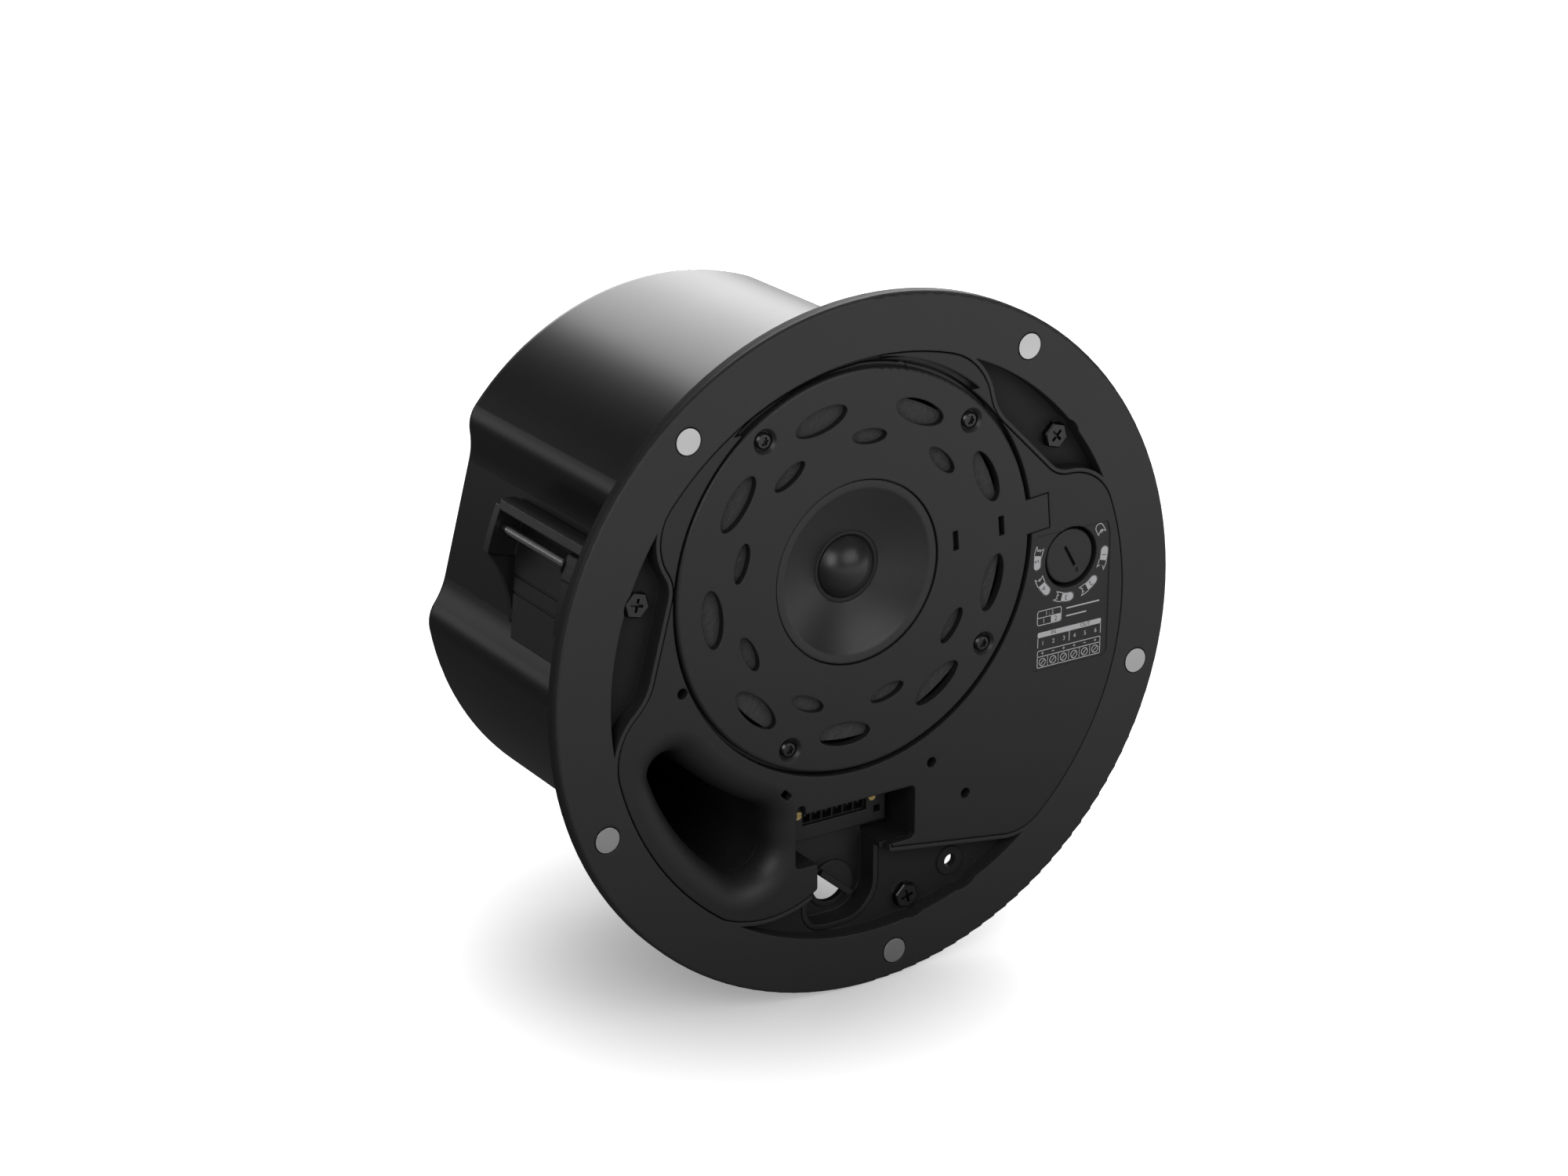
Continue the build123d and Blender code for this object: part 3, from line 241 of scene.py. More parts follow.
def floor_measure(tree, operation, other):
    """What a vector operation gives for each point of the floor and another point."""
    where = tree.nodes.new("ShaderNodeTexCoord")
    node = tree.nodes.new("ShaderNodeVectorMath")
    node.operation = operation
    node.inputs[1].default_value = other
    tree.links.new(where.outputs["Object"], node.inputs[0])
    return node.outputs["Value"]


def fading_floor(tree, measure, span, colour, glow):
    """A matt floor with a glow, both from a near to a far value along a measure: painted shade
    and light.
    """
    matt = tree.nodes.new("ShaderNodeBsdfDiffuse")
    light = tree.nodes.new("ShaderNodeEmission")
    light.inputs["Color"].default_value = WHITE
    tree.links.new(faded(tree, measure, span, colour, "SMOOTHSTEP"), matt.inputs["Color"])
    tree.links.new(faded(tree, measure, span, glow, "SMOOTHSTEP"), light.inputs["Strength"])
    both = tree.nodes.new("ShaderNodeAddShader")
    tree.links.new(matt.outputs["BSDF"], both.inputs[0])
    tree.links.new(light.outputs["Emission"], both.inputs[1])
    return both.outputs["Shader"]


bm = bmesh.new()
bmesh.ops.create_grid(bm, x_segments=2, y_segments=2, size=FLOOR_REACH)
floor_mesh = bpy.data.meshes.new("floor")
bm.to_mesh(floor_mesh)
bm.free()
floor = bpy.data.objects.new("floor", floor_mesh)
bpy.context.scene.collection.objects.link(floor)
floor.location = (0.0, 0.0, FLOOR_LEVEL)
floor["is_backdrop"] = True

paper = bpy.data.materials.new("pale_floor")
paper.use_nodes = True
paper_tree = paper.node_tree
paper_tree.nodes.clear()
ahead = floor_measure(paper_tree, "DOT_PRODUCT", FLOOR_AHEAD)
# Distance from the middle of the painted shadow.
painted_shadow_reach = floor_measure(paper_tree, "DISTANCE", SHADOW_MIDDLE)
split_by_camera(
    paper_tree,
    "ShaderNodeOutputMaterial",
    fading_floor(paper_tree, ahead, **FLOOR_PAINTED_SHADE_FOR_OBJECT),
    fading_floor(paper_tree, painted_shadow_reach, **FLOOR_PAINTED_SHADOW_FOR_CAMERA),
)
floor.data.materials.append(paper)
print("floor at", FLOOR_LEVEL)

# %% [markdown]
# Node helpers. A shader is a tree of small boxes with wires between them. These three make
# a box, set or wire what goes in, and give back what comes out, so that an effect below
# reads like a sum.

# %% Node helpers
def start_group(name, inputs, output):
    """A shader node group with number inputs and one number output."""
    tree = bpy.data.node_groups.new(name, "ShaderNodeTree")
    for label, value in inputs:
        socket = tree.interface.new_socket(label, in_out="INPUT", socket_type="NodeSocketFloat")
        socket.default_value = value
    tree.interface.new_socket(output, in_out="OUTPUT", socket_type="NodeSocketFloat")
    return tree, tree.nodes.new("NodeGroupInput"), tree.nodes.new("NodeGroupOutput")


def math_node(tree, operation, *values):
    """A Math node. A socket is linked, a number is set."""
    node = tree.nodes.new("ShaderNodeMath")
    node.operation = operation
    for socket, value in zip(node.inputs, values):
        if isinstance(value, (int, float)):
            socket.default_value = value
        else:
            tree.links.new(value, socket)
    return node.outputs["Value"]


def noise_node(tree, scale, detail=3.0, rough=0.5):
    """Noise over the object's own metres. scale is a number or a socket."""
    where = tree.nodes.new("ShaderNodeTexCoord")
    node = tree.nodes.new("ShaderNodeTexNoise")
    tree.links.new(where.outputs["Object"], node.inputs["Vector"])
    if isinstance(scale, (int, float)):
        node.inputs["Scale"].default_value = scale
    else:
        tree.links.new(scale, node.inputs["Scale"])
    node.inputs["Detail"].default_value = detail
    node.inputs["Roughness"].default_value = rough
    return node.outputs["Fac"]


print("node helpers ready")

# %% [markdown]
# Shared effects. A moulded part is never quite smooth: the tool leaves a fine grain, the
# gloss wanders a little from place to place, and dust settles on what faces up. Each of
# these is one node group, placed in every material that needs it with its own values.

# %% Shared effects
GRAIN_WAVES = 260.0
GRAIN_WAVE_SHARE = 0.35
SPECK_SIZE = 900.0
SPECK_POWER = 3.0
PATCH_SIZE = 40.0


def moulded_grain():
    """Height of a spark-eroded tool surface: fine grains over a slow wander."""
    tree, given, out = start_group("moulded grain", [("Scale", 2200.0)], "Height")
    fine = noise_node(tree, given.outputs["Scale"], detail=2.0, rough=0.6)
    slow = noise_node(tree, GRAIN_WAVES, detail=1.0)
    height = math_node(tree, "ADD", fine, math_node(tree, "MULTIPLY", slow, GRAIN_WAVE_SHARE))
    tree.links.new(height, out.inputs["Height"])
    return tree


def gloss_wander():
    """Roughness that drifts around its middle value, as handling leaves it."""
    inputs = [("Middle", 0.45), ("Spread", 0.12), ("Scale", 28.0)]
    tree, given, out = start_group("gloss wander", inputs, "Roughness")
    cloud = noise_node(tree, given.outputs["Scale"], detail=4.0, rough=0.6)
    centred = math_node(tree, "SUBTRACT", cloud, 0.5)
    swing = math_node(tree, "MULTIPLY", centred, given.outputs["Spread"])
    gloss = math_node(tree, "ADD", given.outputs["Middle"], swing)
    tree.links.new(gloss, out.inputs["Roughness"])
    return tree


def settled_dust():
    """Mask of thin dust, strongest where the surface looks up."""
    tree, given, out = start_group("settled dust", [("Amount", 0.2)], "Mask")
    shape = tree.nodes.new("ShaderNodeNewGeometry")
    split = tree.nodes.new("ShaderNodeSeparateXYZ")
    tree.links.new(shape.outputs["Normal"], split.inputs["Vector"])
    upward = math_node(tree, "MAXIMUM", split.outputs["Z"], 0.0)
    speckle = noise_node(tree, SPECK_SIZE, rough=0.7)
    specks = math_node(tree, "POWER", speckle, SPECK_POWER)
    patches = noise_node(tree, PATCH_SIZE)
    dust = math_node(tree, "MULTIPLY", math_node(tree, "MULTIPLY", upward, specks), patches)
    amount = math_node(tree, "MULTIPLY", dust, given.outputs["Amount"])
    tree.links.new(amount, out.inputs["Mask"])
    return tree


GRAIN = moulded_grain()
WANDER = gloss_wander()
DUST = settled_dust()
print("node groups:", [g.name for g in bpy.data.node_groups])

# %% [markdown]
# The materials. Every one starts from plain_finish(), which makes a Principled shader and
# gives back the pieces to wire. raise_surface() adds the fine relief, and with it a tiny
# rounding of the normals at sharp edges, which catches the light as a real moulded or
# pressed edge does. It costs no faces, where a real bevel on every edge would.

# %% Material helpers
def plain_finish(name, colour, roughness, metallic=0.0):
    """A new material with the three values that every finish has."""
    material = bpy.data.materials.new(name)
    material.use_nodes = True
    tree = material.node_tree
    shader = tree.nodes["Principled BSDF"]
    shader.inputs["Base Color"].default_value = (*colour, 1.0)
    shader.inputs["Roughness"].default_value = roughness
    shader.inputs["Metallic"].default_value = metallic
    return material, tree, shader


def place_group(tree, group, **values):
    """One of the shared groups with this material's own values; gives its one output."""
    node = tree.nodes.new("ShaderNodeGroup")
    node.node_tree = group
    for name, value in values.items():
        node.inputs[name].default_value = value
    return node.outputs[0]


def raise_surface(tree, shader, height, depth, edge=0.0):
    """Bump the surface by a height socket; depth in metres. edge rounds sharp edges."""
    bump = tree.nodes.new("ShaderNodeBump")
    bump.inputs["Distance"].default_value = depth
    tree.links.new(height, bump.inputs["Height"])
    if edge:
        bevel = tree.nodes.new("ShaderNodeBevel")
        bevel.samples = 4
        bevel.inputs["Radius"].default_value = edge
        tree.links.new(bevel.outputs["Normal"], bump.inputs["Normal"])
    tree.links.new(bump.outputs["Normal"], shader.inputs["Normal"])


def tint(tree, shader, low, high, mask):
    """Base colour between two colours by a mask socket."""
    mix = tree.nodes.new("ShaderNodeMix")
    mix.data_type = "RGBA"
    mix.inputs[6].default_value = (*low, 1.0)
    mix.inputs[7].default_value = (*high, 1.0)
    tree.links.new(mask, mix.inputs[0])
    tree.links.new(mix.outputs[2], shader.inputs["Base Color"])


def grey(value):
    """A grey that leans a very little to blue."""
    return (value, value, value * 1.02)


print("material helpers ready")

# %% [markdown]
# Moulded plastic. Flange, baffle, towers, dish and cone share one recipe and differ in
# tone, gloss and grain: shared grain for the relief, shared wander for the gloss, a haze of
# dust for the colour. The flange also has painted shade in its wells: its specular level
# falls toward their floors, which stands in for the deeper shadow that lies there.

# %% Moulded plastic
MOULDED_SPREAD = 0.10
DUST_AMOUNT = 0.25
DUST_COLOUR = (0.30, 0.29, 0.27)
USUAL_SHINE = 0.5
# Painted shade in the flange's wells: the specular level falls from 0.5 at the front to 0.14
# deeper in.
WELL_PAINTED_SHADE = {"shallow": -0.0045, "deep": -0.0025, "shine": 0.14}


def dull_recess(tree, shader, shallow, deep, shine):
    """Painted shade: less specular shine from a shallow to a deep place behind the front, both in
    metres.
    """
    where = tree.nodes.new("ShaderNodeTexCoord")
    split = tree.nodes.new("ShaderNodeSeparateXYZ")
    tree.links.new(where.outputs["Object"], split.inputs["Vector"])
    fall = faded(tree, split.outputs["Y"], (shallow, deep), (USUAL_SHINE, shine))
    tree.links.new(fall, shader.inputs["Specular IOR Level"])


def moulded(name, tone, roughness, grain=2200.0, depth=0.00003, edge=0.0007, recess_shade=None):
    """Grained plastic with wandering gloss, a little dust and, if asked, painted shade in
    recesses.
    """
    material, tree, shader = plain_finish(name, grey(tone), roughness)
    if recess_shade:
        dull_recess(tree, shader, **recess_shade)
    gloss = place_group(tree, WANDER, Middle=roughness, Spread=MOULDED_SPREAD)
    tree.links.new(gloss, shader.inputs["Roughness"])
    raise_surface(tree, shader, place_group(tree, GRAIN, Scale=grain), depth, edge)
    tint(tree, shader, grey(tone), DUST_COLOUR, place_group(tree, DUST, Amount=DUST_AMOUNT))
    return material


print("moulded plastic ready")

# %% [markdown]
# Paint and metal. The can is pressed steel with gloss black paint that mirrors the studio
# in long soft streaks, so its relief is only the faint peel of sprayed paint. Zinc and
# brass plating are metals whose gloss changes over a few millimetres, as a plating bath
# leaves it.

# %% Paint and metal
CAN_BLACK = (0.006, 0.006, 0.0062)
CAN_ROUGHNESS = 0.34
BRASS = (0.66, 0.50, 0.22)
BRASS_ROUGHNESS = 0.32


def gloss_paint():
    """Smooth black paint over pressed steel, with a faint peel."""
    material, tree, shader = plain_finish("gloss_black_paint", CAN_BLACK, CAN_ROUGHNESS)
    gloss = place_group(tree, WANDER, Middle=CAN_ROUGHNESS, Spread=0.05, Scale=14.0)
    tree.links.new(gloss, shader.inputs["Roughness"])
    raise_surface(tree, shader, noise_node(tree, 900.0, detail=2.0), 0.000006, edge=0.0005)
    return material


def zinc_steel(name, tone, roughness):
    """Plated steel with a fine random haze."""
    material, tree, shader = plain_finish(name, (tone, tone, tone * 1.01), roughness, 1.0)
    gloss = place_group(tree, WANDER, Middle=roughness, Spread=0.18, Scale=160.0)
    tree.links.new(gloss, shader.inputs["Roughness"])
    raise_surface(tree, shader, noise_node(tree, 1800.0, rough=0.7), 0.000008, edge=0.0002)
    return material


def plated_brass():
    """Thin bright plating, as on terminal screws."""
    material, tree, shader = plain_finish("plated_brass", BRASS, BRASS_ROUGHNESS, 1.0)
    gloss = place_group(tree, WANDER, Middle=BRASS_ROUGHNESS, Spread=0.2, Scale=240.0)
    tree.links.new(gloss, shader.inputs["Roughness"])
    raise_surface(tree, shader, noise_node(tree, 1500.0), 0.00001, edge=0.0002)
    return material


print("paint and metal ready")

# %% [markdown]
# Soft and electrical finishes. Felt, cloth and foam are one recipe: a rough noise that
# both lifts the surface and, as painted shade and light, darkens its hollows and lightens
# its tops, with a sheen for the loose fibres. The
# copper windings get even bands about their axis, and the board a cell pattern like glass
# fibre under green lacquer. Most of these sit inside the can.

# %% Soft and electrical finishes
def soft_felt(name, tone, scale, depth):
    """Loose fibres: a matt, uneven surface with a soft sheen and painted shade in its hollows."""
    material, tree, shader = plain_finish(name, grey(tone), 0.95)
    fluff = noise_node(tree, scale, detail=6.0, rough=0.75)
    raise_surface(tree, shader, fluff, depth)
    # Painted shade and light: the noise that lifts the fibres also darkens the hollows and
    # lightens the tops.
    tint(tree, shader, grey(tone * 0.35), grey(tone * 1.9), fluff)
    shader.inputs["Sheen Weight"].default_value = 0.35
    shader.inputs["Sheen Roughness"].default_value = 0.5
    return material


def smooth_rubber():
    """Matt black rubber with a fine skin."""
    material, tree, shader = plain_finish("soft_rubber", grey(0.010), 0.70)
    raise_surface(tree, shader, noise_node(tree, 1400.0, detail=2.0), 0.00001, edge=0.0002)
    return material


def wound_copper():
    """Enamelled wire in even turns about the winding's axis."""
    material, tree, shader = plain_finish("wound_copper", (0.42, 0.15, 0.06), 0.35, 0.9)
    where = tree.nodes.new("ShaderNodeTexCoord")
    turns = tree.nodes.new("ShaderNodeTexWave")
    turns.bands_direction = "Y"
    turns.inputs["Scale"].default_value = 420.0
    tree.links.new(where.outputs["Object"], turns.inputs["Vector"])
    raise_surface(tree, shader, turns.outputs["Fac"], 0.0002)
    tint(tree, shader, (0.20, 0.06, 0.02), (0.50, 0.19, 0.08), turns.outputs["Fac"])
    return material


def laminate():
    """Green lacquer over glass fibre."""
    material, tree, shader = plain_finish("board_laminate", (0.03, 0.12, 0.05), 0.45)
    where = tree.nodes.new("ShaderNodeTexCoord")
    cells = tree.nodes.new("ShaderNodeTexVoronoi")
    cells.inputs["Scale"].default_value = 220.0
    tree.links.new(where.outputs["Object"], cells.inputs["Vector"])
    tint(tree, shader, (0.02, 0.09, 0.035), (0.05, 0.17, 0.07), cells.outputs["Distance"])
    raise_surface(tree, shader, cells.outputs["Distance"], 0.00003)
    return material


print("soft and electrical finishes ready")

# %% [markdown]
# The finish of each slot of the speaker, by the slot's name in the record. Tones are
# linear: 0.02 is a very dark grey, and every black here lies between 0.006 and 0.03.
# Depths and edges are in metres.

# %% Finishes
FINISH = {
    # The flange carries painted shade in its wells.
    "flange_paint": moulded("flange_moulding", 0.020, 0.52, recess_shade=WELL_PAINTED_SHADE),
    "baffle_plastic": moulded("baffle_moulding", 0.012, 0.50, edge=0.0009),
    "can_paint": gloss_paint(),
    "black_plastic": moulded("black_moulding", 0.011, 0.42, edge=0.0006),
    "dish_plastic": moulded("dish_moulding", 0.014, 0.36, grain=3000.0, depth=0.000012),
    "bright_steel": zinc_steel("zinc_plated_steel", 0.62, 0.34),
    "dark_steel": moulded("black_painted_steel", 0.014, 0.40, grain=900.0, depth=0.000015),
    "brass": plated_brass(),
    "soft_rubber": smooth_rubber(),
    "cloth": soft_felt("acoustic_cloth_weave", 0.026, 1100.0, 0.0004),
    "felt": soft_felt("needled_felt", 0.06, 700.0, 0.0006),
    "cone_paper": moulded("coated_cone", 0.02, 0.6, grain=1300.0, depth=0.00004),
    "black_zinc": zinc_steel("black_zinc", 0.06, 0.30),
    "dome_film": moulded("dome_film", 0.016, 0.33, grain=4000.0, depth=0.000006),
    "ferrite": moulded("ferrite_block", 0.03, 0.7, grain=1500.0, depth=0.00004),
    "copper": wound_copper(),
    "board": laminate(),
    "foam": soft_felt("closed_foam", 0.02, 1600.0, 0.0002),
}
print("finishes:", len(FINISH))

# %% [markdown]
# The frame's own pieces get their finish by the slot that the record names. Their curved
# walls come as flat facets, so they are smoothed except across real edges.

# %% Dress the frame
SHARP_ANGLE = radians(28.0)
SLOT_OF = {row["node"]: row["material_slot"] for row in frame["record"]["subparts"]}

for name, obj in frame["nodes"].items():
    obj.data.materials.clear()
    obj.data.materials.append(FINISH[SLOT_OF[name]])
    for face in obj.data.polygons:
        face.use_smooth = True
    obj.data.set_sharp_from_angle(angle=SHARP_ANGLE)
print("dressed:", len(SLOT_OF))

# %% [markdown]
# The thread of a clamp screw. It is one long strip of rings whose radius follows a saw-tooth
# that climbs as it goes round, which gives a true helix with a root and a crest and needs
# no sweep. In front of it the shank is plain, and behind it comes the plain pin that turns
# in the clamp's rear wall.

# %% Thread of the clamp screws
THREAD_CREST = 1.7
THREAD_ROOT = 1.28
THREAD_PITCH = 1.15
THREAD_RUNOUT = 1.5
SHANK_START = 1.0
SHANK_PLAIN = 6.0
SHANK_END = 81.9
PIN_RADIUS = 1.2
PIN_END = 85.9
PIN_CHAMFER = 0.3
SIDES = 20
RINGS_PER_TURN = 4


def thread_radius(turn, depth):
    """Radius in millimetres at an angle (in turns) and a depth."""
    if depth < SHANK_PLAIN:
        return THREAD_CREST
    phase = (depth / THREAD_PITCH - turn) % 1.0
    saw = abs(2.0 * phase - 1.0)
    taper = min(1.0, (SHANK_END - depth) / THREAD_RUNOUT)
    return THREAD_ROOT + (THREAD_CREST - THREAD_ROOT) * saw * max(taper, 0.0)


def threaded_shank(bm, axis):
    """The thread, ring by ring, and the plain pin behind it."""

    def ring_of(depth, plain=None):
        """A ring of the shank, with the thread's radius unless a plain one is given."""
        ring = []
        for side in range(SIDES):
            turn = side / SIDES
            spot = around(axis, plain or thread_radius(turn, depth), 2 * pi * turn)
            ring.append(bm.verts.new(place(*spot, depth)))
        return ring

    length = SHANK_END - SHANK_START
    rows = int(length / THREAD_PITCH * RINGS_PER_TURN)
    rings = [ring_of(SHANK_START + length * row / rows) for row in range(rows + 1)]
    rings.append(ring_of(SHANK_END, PIN_RADIUS))
    rings.append(ring_of(PIN_END - PIN_CHAMFER, PIN_RADIUS))
    rings.append(ring_of(PIN_END, PIN_RADIUS - PIN_CHAMFER))
    for ring, behind in zip(rings, rings[1:]):
        bridge(bm, ring, behind)
    bm.faces.new(rings[0])
    bm.faces.new(rings[-1])


print("turns of thread:", round((SHANK_END - SHANK_PLAIN) / THREAD_PITCH))

# %% [markdown]
# The clamp screws. A real one is a long machine screw with a hexagonal head. The head of
# the construction piece is right, so a copy of it is kept down to the washer, closed, and
# set on the thread. The head has a black finish, and the shank is bright.

# %% Clamp screws
SCREW_RING = 94.5
SCREW_TURN = -5.7
BITE_ANGLES = (45.0, 165.0, 285.0)
HEAD_INTO_SHANK = 0.5
TURNED_SHARP = radians(35.0)


def screw_axis(number):
    """Across and up of a clamp screw's axis."""
    return around((0.0, 0.0), SCREW_RING, radians(BITE_ANGLES[number - 1] + SCREW_TURN))


def copy_of(node):
    """A bmesh copy of a construction piece, which itself stays as it is."""
    bm = bmesh.new()
    bm.from_mesh(frame["nodes"][node].data)
    return bm


def cut_across(bm, depth, **cleared):
    """Cut a bmesh at a depth in millimetres; cleared names the sides that go."""
    everything = bm.verts[:] + bm.edges[:] + bm.faces[:]
    return bmesh.ops.bisect_plane(
        bm, geom=everything, plane_co=(0, depth * MM, 0), plane_no=(0, 1, 0), **cleared
    )


def clamp_screw(number):
    """The construction piece's head on a threaded shank."""
    bm = copy_of(f"clamp_screw_{number}")
    cut = cut_across(bm, SHANK_START + HEAD_INTO_SHANK, clear_outer=True)
    rim = [edge for edge in cut["geom_cut"] if isinstance(edge, bmesh.types.BMEdge)]
    bmesh.ops.edgeloop_fill(bm, edges=rim)
    threaded_shank(bm, screw_axis(number))
    bmesh.ops.recalc_face_normals(bm, faces=bm.faces)
    piece = new_piece(f"threaded_screw_{number}", bm, f"screw_{number}")
    piece.data.set_sharp_from_angle(angle=TURNED_SHARP)
    piece.data.materials.append(FINISH["black_zinc"])
    piece.data.materials.append(FINISH["bright_steel"])
    for face in piece.data.polygons:
        face.material_index = int(face.center.y > SHANK_START * MM)
    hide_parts(f"clamp_screw_{number}")
    return piece


for number in (1, 2, 3):
    screw = clamp_screw(number)
    print(screw.name, "faces", len(screw.data.polygons))

# %% [markdown]
# The dish round the tweeter. The picture shows a flat rim that lies a little below the disc,
# and inside it one smooth cone down to the dome, so that its lower half catches the light
# evenly. Its section is written as radius and depth, and turned round the driver's axis. The
# back keeps to the construction piece.

# %% Section of the dish
DRIVER = (-8.05, 29.0)
DISH_EDGE = 30.9
DISH_RIM = -4.55
RIM_INSIDE = 28.6
LIP = (28.15, DISH_RIM + 0.08)
CONE_TOP = (27.6, -4.15)
CONE_FOOT = (12.1, 1.8)
CONE_HOLLOW = 0.35
CONE_STEPS = 14
THROAT_END = 3.2
DISH_BACK = -1.9
BACK_STEPS = ((19.6, 2.5), (23.5, 0.9), (27.0, -0.2), (28.9, -0.2), (28.9, -0.7), (30.9, -0.7))


def dish_section():
    """Closed outline of the dish: rim, cone, throat, spigot and back."""
    section = [(DISH_EDGE, DISH_RIM), (RIM_INSIDE, DISH_RIM), LIP]
    for k in range(CONE_STEPS + 1):
        share = k / CONE_STEPS
        radius = CONE_TOP[0] + (CONE_FOOT[0] - CONE_TOP[0]) * share
        depth = CONE_TOP[1] + (CONE_FOOT[1] - CONE_TOP[1]) * share
        section.append((radius, depth + CONE_HOLLOW * sin(pi * share)))
    section += [(CONE_FOOT[0], THROAT_END), (BACK_STEPS[0][0], THROAT_END)]
    section += [(radius, DISH_BACK + step) for radius, step in BACK_STEPS]
    return section


print("points in the section:", len(dish_section()))

# %% [markdown]
# Turning the dish. Each step round the axis sets the section's points down once more, and
# neighbouring copies are joined, the last one with the first, just as a lathe goes round.

# %% Dish
DISH_SIDES = 160

bm = bmesh.new()
rings = []
for side in range(DISH_SIDES):
    angle = 2 * pi * side / DISH_SIDES
    spots = [place(*around(DRIVER, radius, angle), depth) for radius, depth in dish_section()]
    rings.append([bm.verts.new(spot) for spot in spots])
for ring, ahead in zip(rings, rings[1:] + rings[:1]):
    bridge(bm, ring, ahead)
bmesh.ops.recalc_face_normals(bm, faces=bm.faces)
dish = new_piece("turned_dish", bm)
dish.data.set_sharp_from_angle(angle=TURNED_SHARP)
dish.data.materials.append(FINISH["dish_plastic"])
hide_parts("waveguide")
print("dish faces:", len(dish.data.polygons))

# %% [markdown]
# Outlines for the light seals. Straight from the front, two clearances would let the white
# background through: the one round the cable trough, and the one over the top of the disc,
# which lies outside the can. Such gaps are usually closed with thin foam. A strip of foam
# round the trough has to follow it exactly, so its outline is cut from the trough's own mesh
# and moved outward, instead of being drawn again by hand.

# %% Outline of the trough
SEAL_FRONT = 3.52
SEAL_REAR = 3.85
TROUGH_TOP = -72.0
SAME_POINT = 0.000001


def outline_at(node, depth):
    """The widest closed outline of a construction piece at a depth, as (across, up)."""
    bm = copy_of(node)
    bmesh.ops.remove_doubles(bm, verts=bm.verts, dist=SAME_POINT)
    cut_across(bm, depth, clear_inner=True, clear_outer=True)
    loops = []
    walked = set()
    for start in bm.verts:
        if start in walked:
            continue
        loop, fresh = [], [start]
        while fresh:
            loop.append(fresh[0])
            walked.add(fresh[0])
            steps = [edge.other_vert(fresh[0]) for edge in fresh[0].link_edges]
            fresh = [vert for vert in steps if vert not in walked]
        loops.append([(vert.co.x / MM, vert.co.z / MM) for vert in loop])
    bm.free()
    return max(loops, key=lambda loop: max(x for x, _ in loop) - min(x for x, _ in loop))


def low_run(outline, top):
    """The stretch of a closed outline that lies under a height, cut at that height."""

    def crossing(start, end):
        """The point between two others that lies at the height."""
        share = (top - start[1]) / (end[1] - start[1])
        return start[0] + (end[0] - start[0]) * share, top

    under = [z < top for _, z in outline]
    first = next(k for k in range(len(outline)) if under[k] and not under[k - 1])
    turned = outline[first:] + outline[:first]
    run = [crossing(turned[-1], turned[0])]
    for point in turned:
        if point[1] >= top:
            run.append(crossing(run[-1], point))
            break
        run.append(point)
    return run


trough = low_run(outline_at("terminal_tray", (SEAL_FRONT + SEAL_REAR) / 2), TROUGH_TOP)
print("points along the trough:", len(trough))

# %% [markdown]
# The light seals. Both strips lie on the back of the flange's collar, a third of a
# millimetre thick. The first is pressed lightly against the trough. The second is an arc
# over the disc. One mesh holds both, because they are cut from the same sheet of foam.

# %% Light seals
SEAL_PRESSED = -0.05
SEAL_WIDTH = 1.35
TOP_SEAL_RADII = (97.4, 101.8)
TOP_SEAL_TURN = (60.0, 130.0)
TOP_SEAL_STEPS = 48


def moved_out(run, centre, distance):
    """Each point moved square to the line, away from a centre."""
    moved = []
    for k, (x, z) in enumerate(run):
        (x0, z0), (x1, z1) = run[max(k - 1, 0)], run[min(k + 1, len(run) - 1)]
        length = hypot(x1 - x0, z1 - z0)
        across = ((z1 - z0) / length, -(x1 - x0) / length)
        outward = across[0] * (x - centre[0]) + across[1] * (z - centre[1]) > 0
        way = distance if outward else -distance
        moved.append((x + way * across[0], z + way * across[1]))
    return moved


def strip(bm, inner, outer):
    """A thin flat strip between two lines of as many points."""
    rows = []
    for near, far in zip(inner, outer):
        corners = ((near, SEAL_FRONT), (far, SEAL_FRONT), (far, SEAL_REAR), (near, SEAL_REAR))
        rows.append([bm.verts.new(place(*spot, depth)) for spot, depth in corners])
    for row, ahead in zip(rows, rows[1:]):
        bridge(bm, row, ahead)
    bm.faces.new(rows[0])
    bm.faces.new(rows[-1])


bm = bmesh.new()
centre = (sum(x for x, _ in trough) / len(trough), TROUGH_TOP)
strip(bm, moved_out(trough, centre, SEAL_PRESSED), moved_out(trough, centre, SEAL_WIDTH))
start, end = TOP_SEAL_TURN
turns = [radians(start + (end - start) * k / TOP_SEAL_STEPS) for k in range(TOP_SEAL_STEPS + 1)]
strip(bm, *([around((0.0, 0.0), radius, turn) for turn in turns] for radius in TOP_SEAL_RADII))
bmesh.ops.recalc_face_normals(bm, faces=bm.faces)
seals = new_piece("light_seals", bm, smooth=False)
seals.data.materials.append(FINISH["foam"])
print("seal faces:", len(seals.data.polygons))

# %% [markdown]
# The printed label. On the real baffle the marks are screen printed in pale grey: a ring of
# tap positions round the selector and a small wiring diagram below it. Here they are plain
# numbers and signs. Each mark is a thin flat polygon that lies on the label's floor, drawn
# from a few points in millimetres, and all of them are gathered in one mesh, as one print
# would be. Lines are narrow polygons too, so that they have a true width.

# %% Flat shapes
LABEL_FLOOR = -4.7
PRINT_DEPTH = LABEL_FLOOR - 0.02
OVERPRINT_DEPTH = LABEL_FLOOR - 0.03
CORNER_STEPS = 5
DISC_STEPS = 28
SMALLEST_CORNER = 0.05


def to_the_room(face):
    """Turn a face over if it looks away from the room."""
    face.normal_update()
    if face.normal.y > 0:
        face.normal_flip()


def flat_face(bm, points):
    """A filled outline."""
    to_the_room(bm.faces.new([bm.verts.new(place(x, z, PRINT_DEPTH)) for x, z in points]))


def flat_band(bm, outer, inner):
    """The line between two closed outlines with as many points each."""
    rings = [[bm.verts.new(place(x, z, PRINT_DEPTH)) for x, z in ring] for ring in (outer, inner)]
    for face in bridge(bm, *rings):
        to_the_room(face)


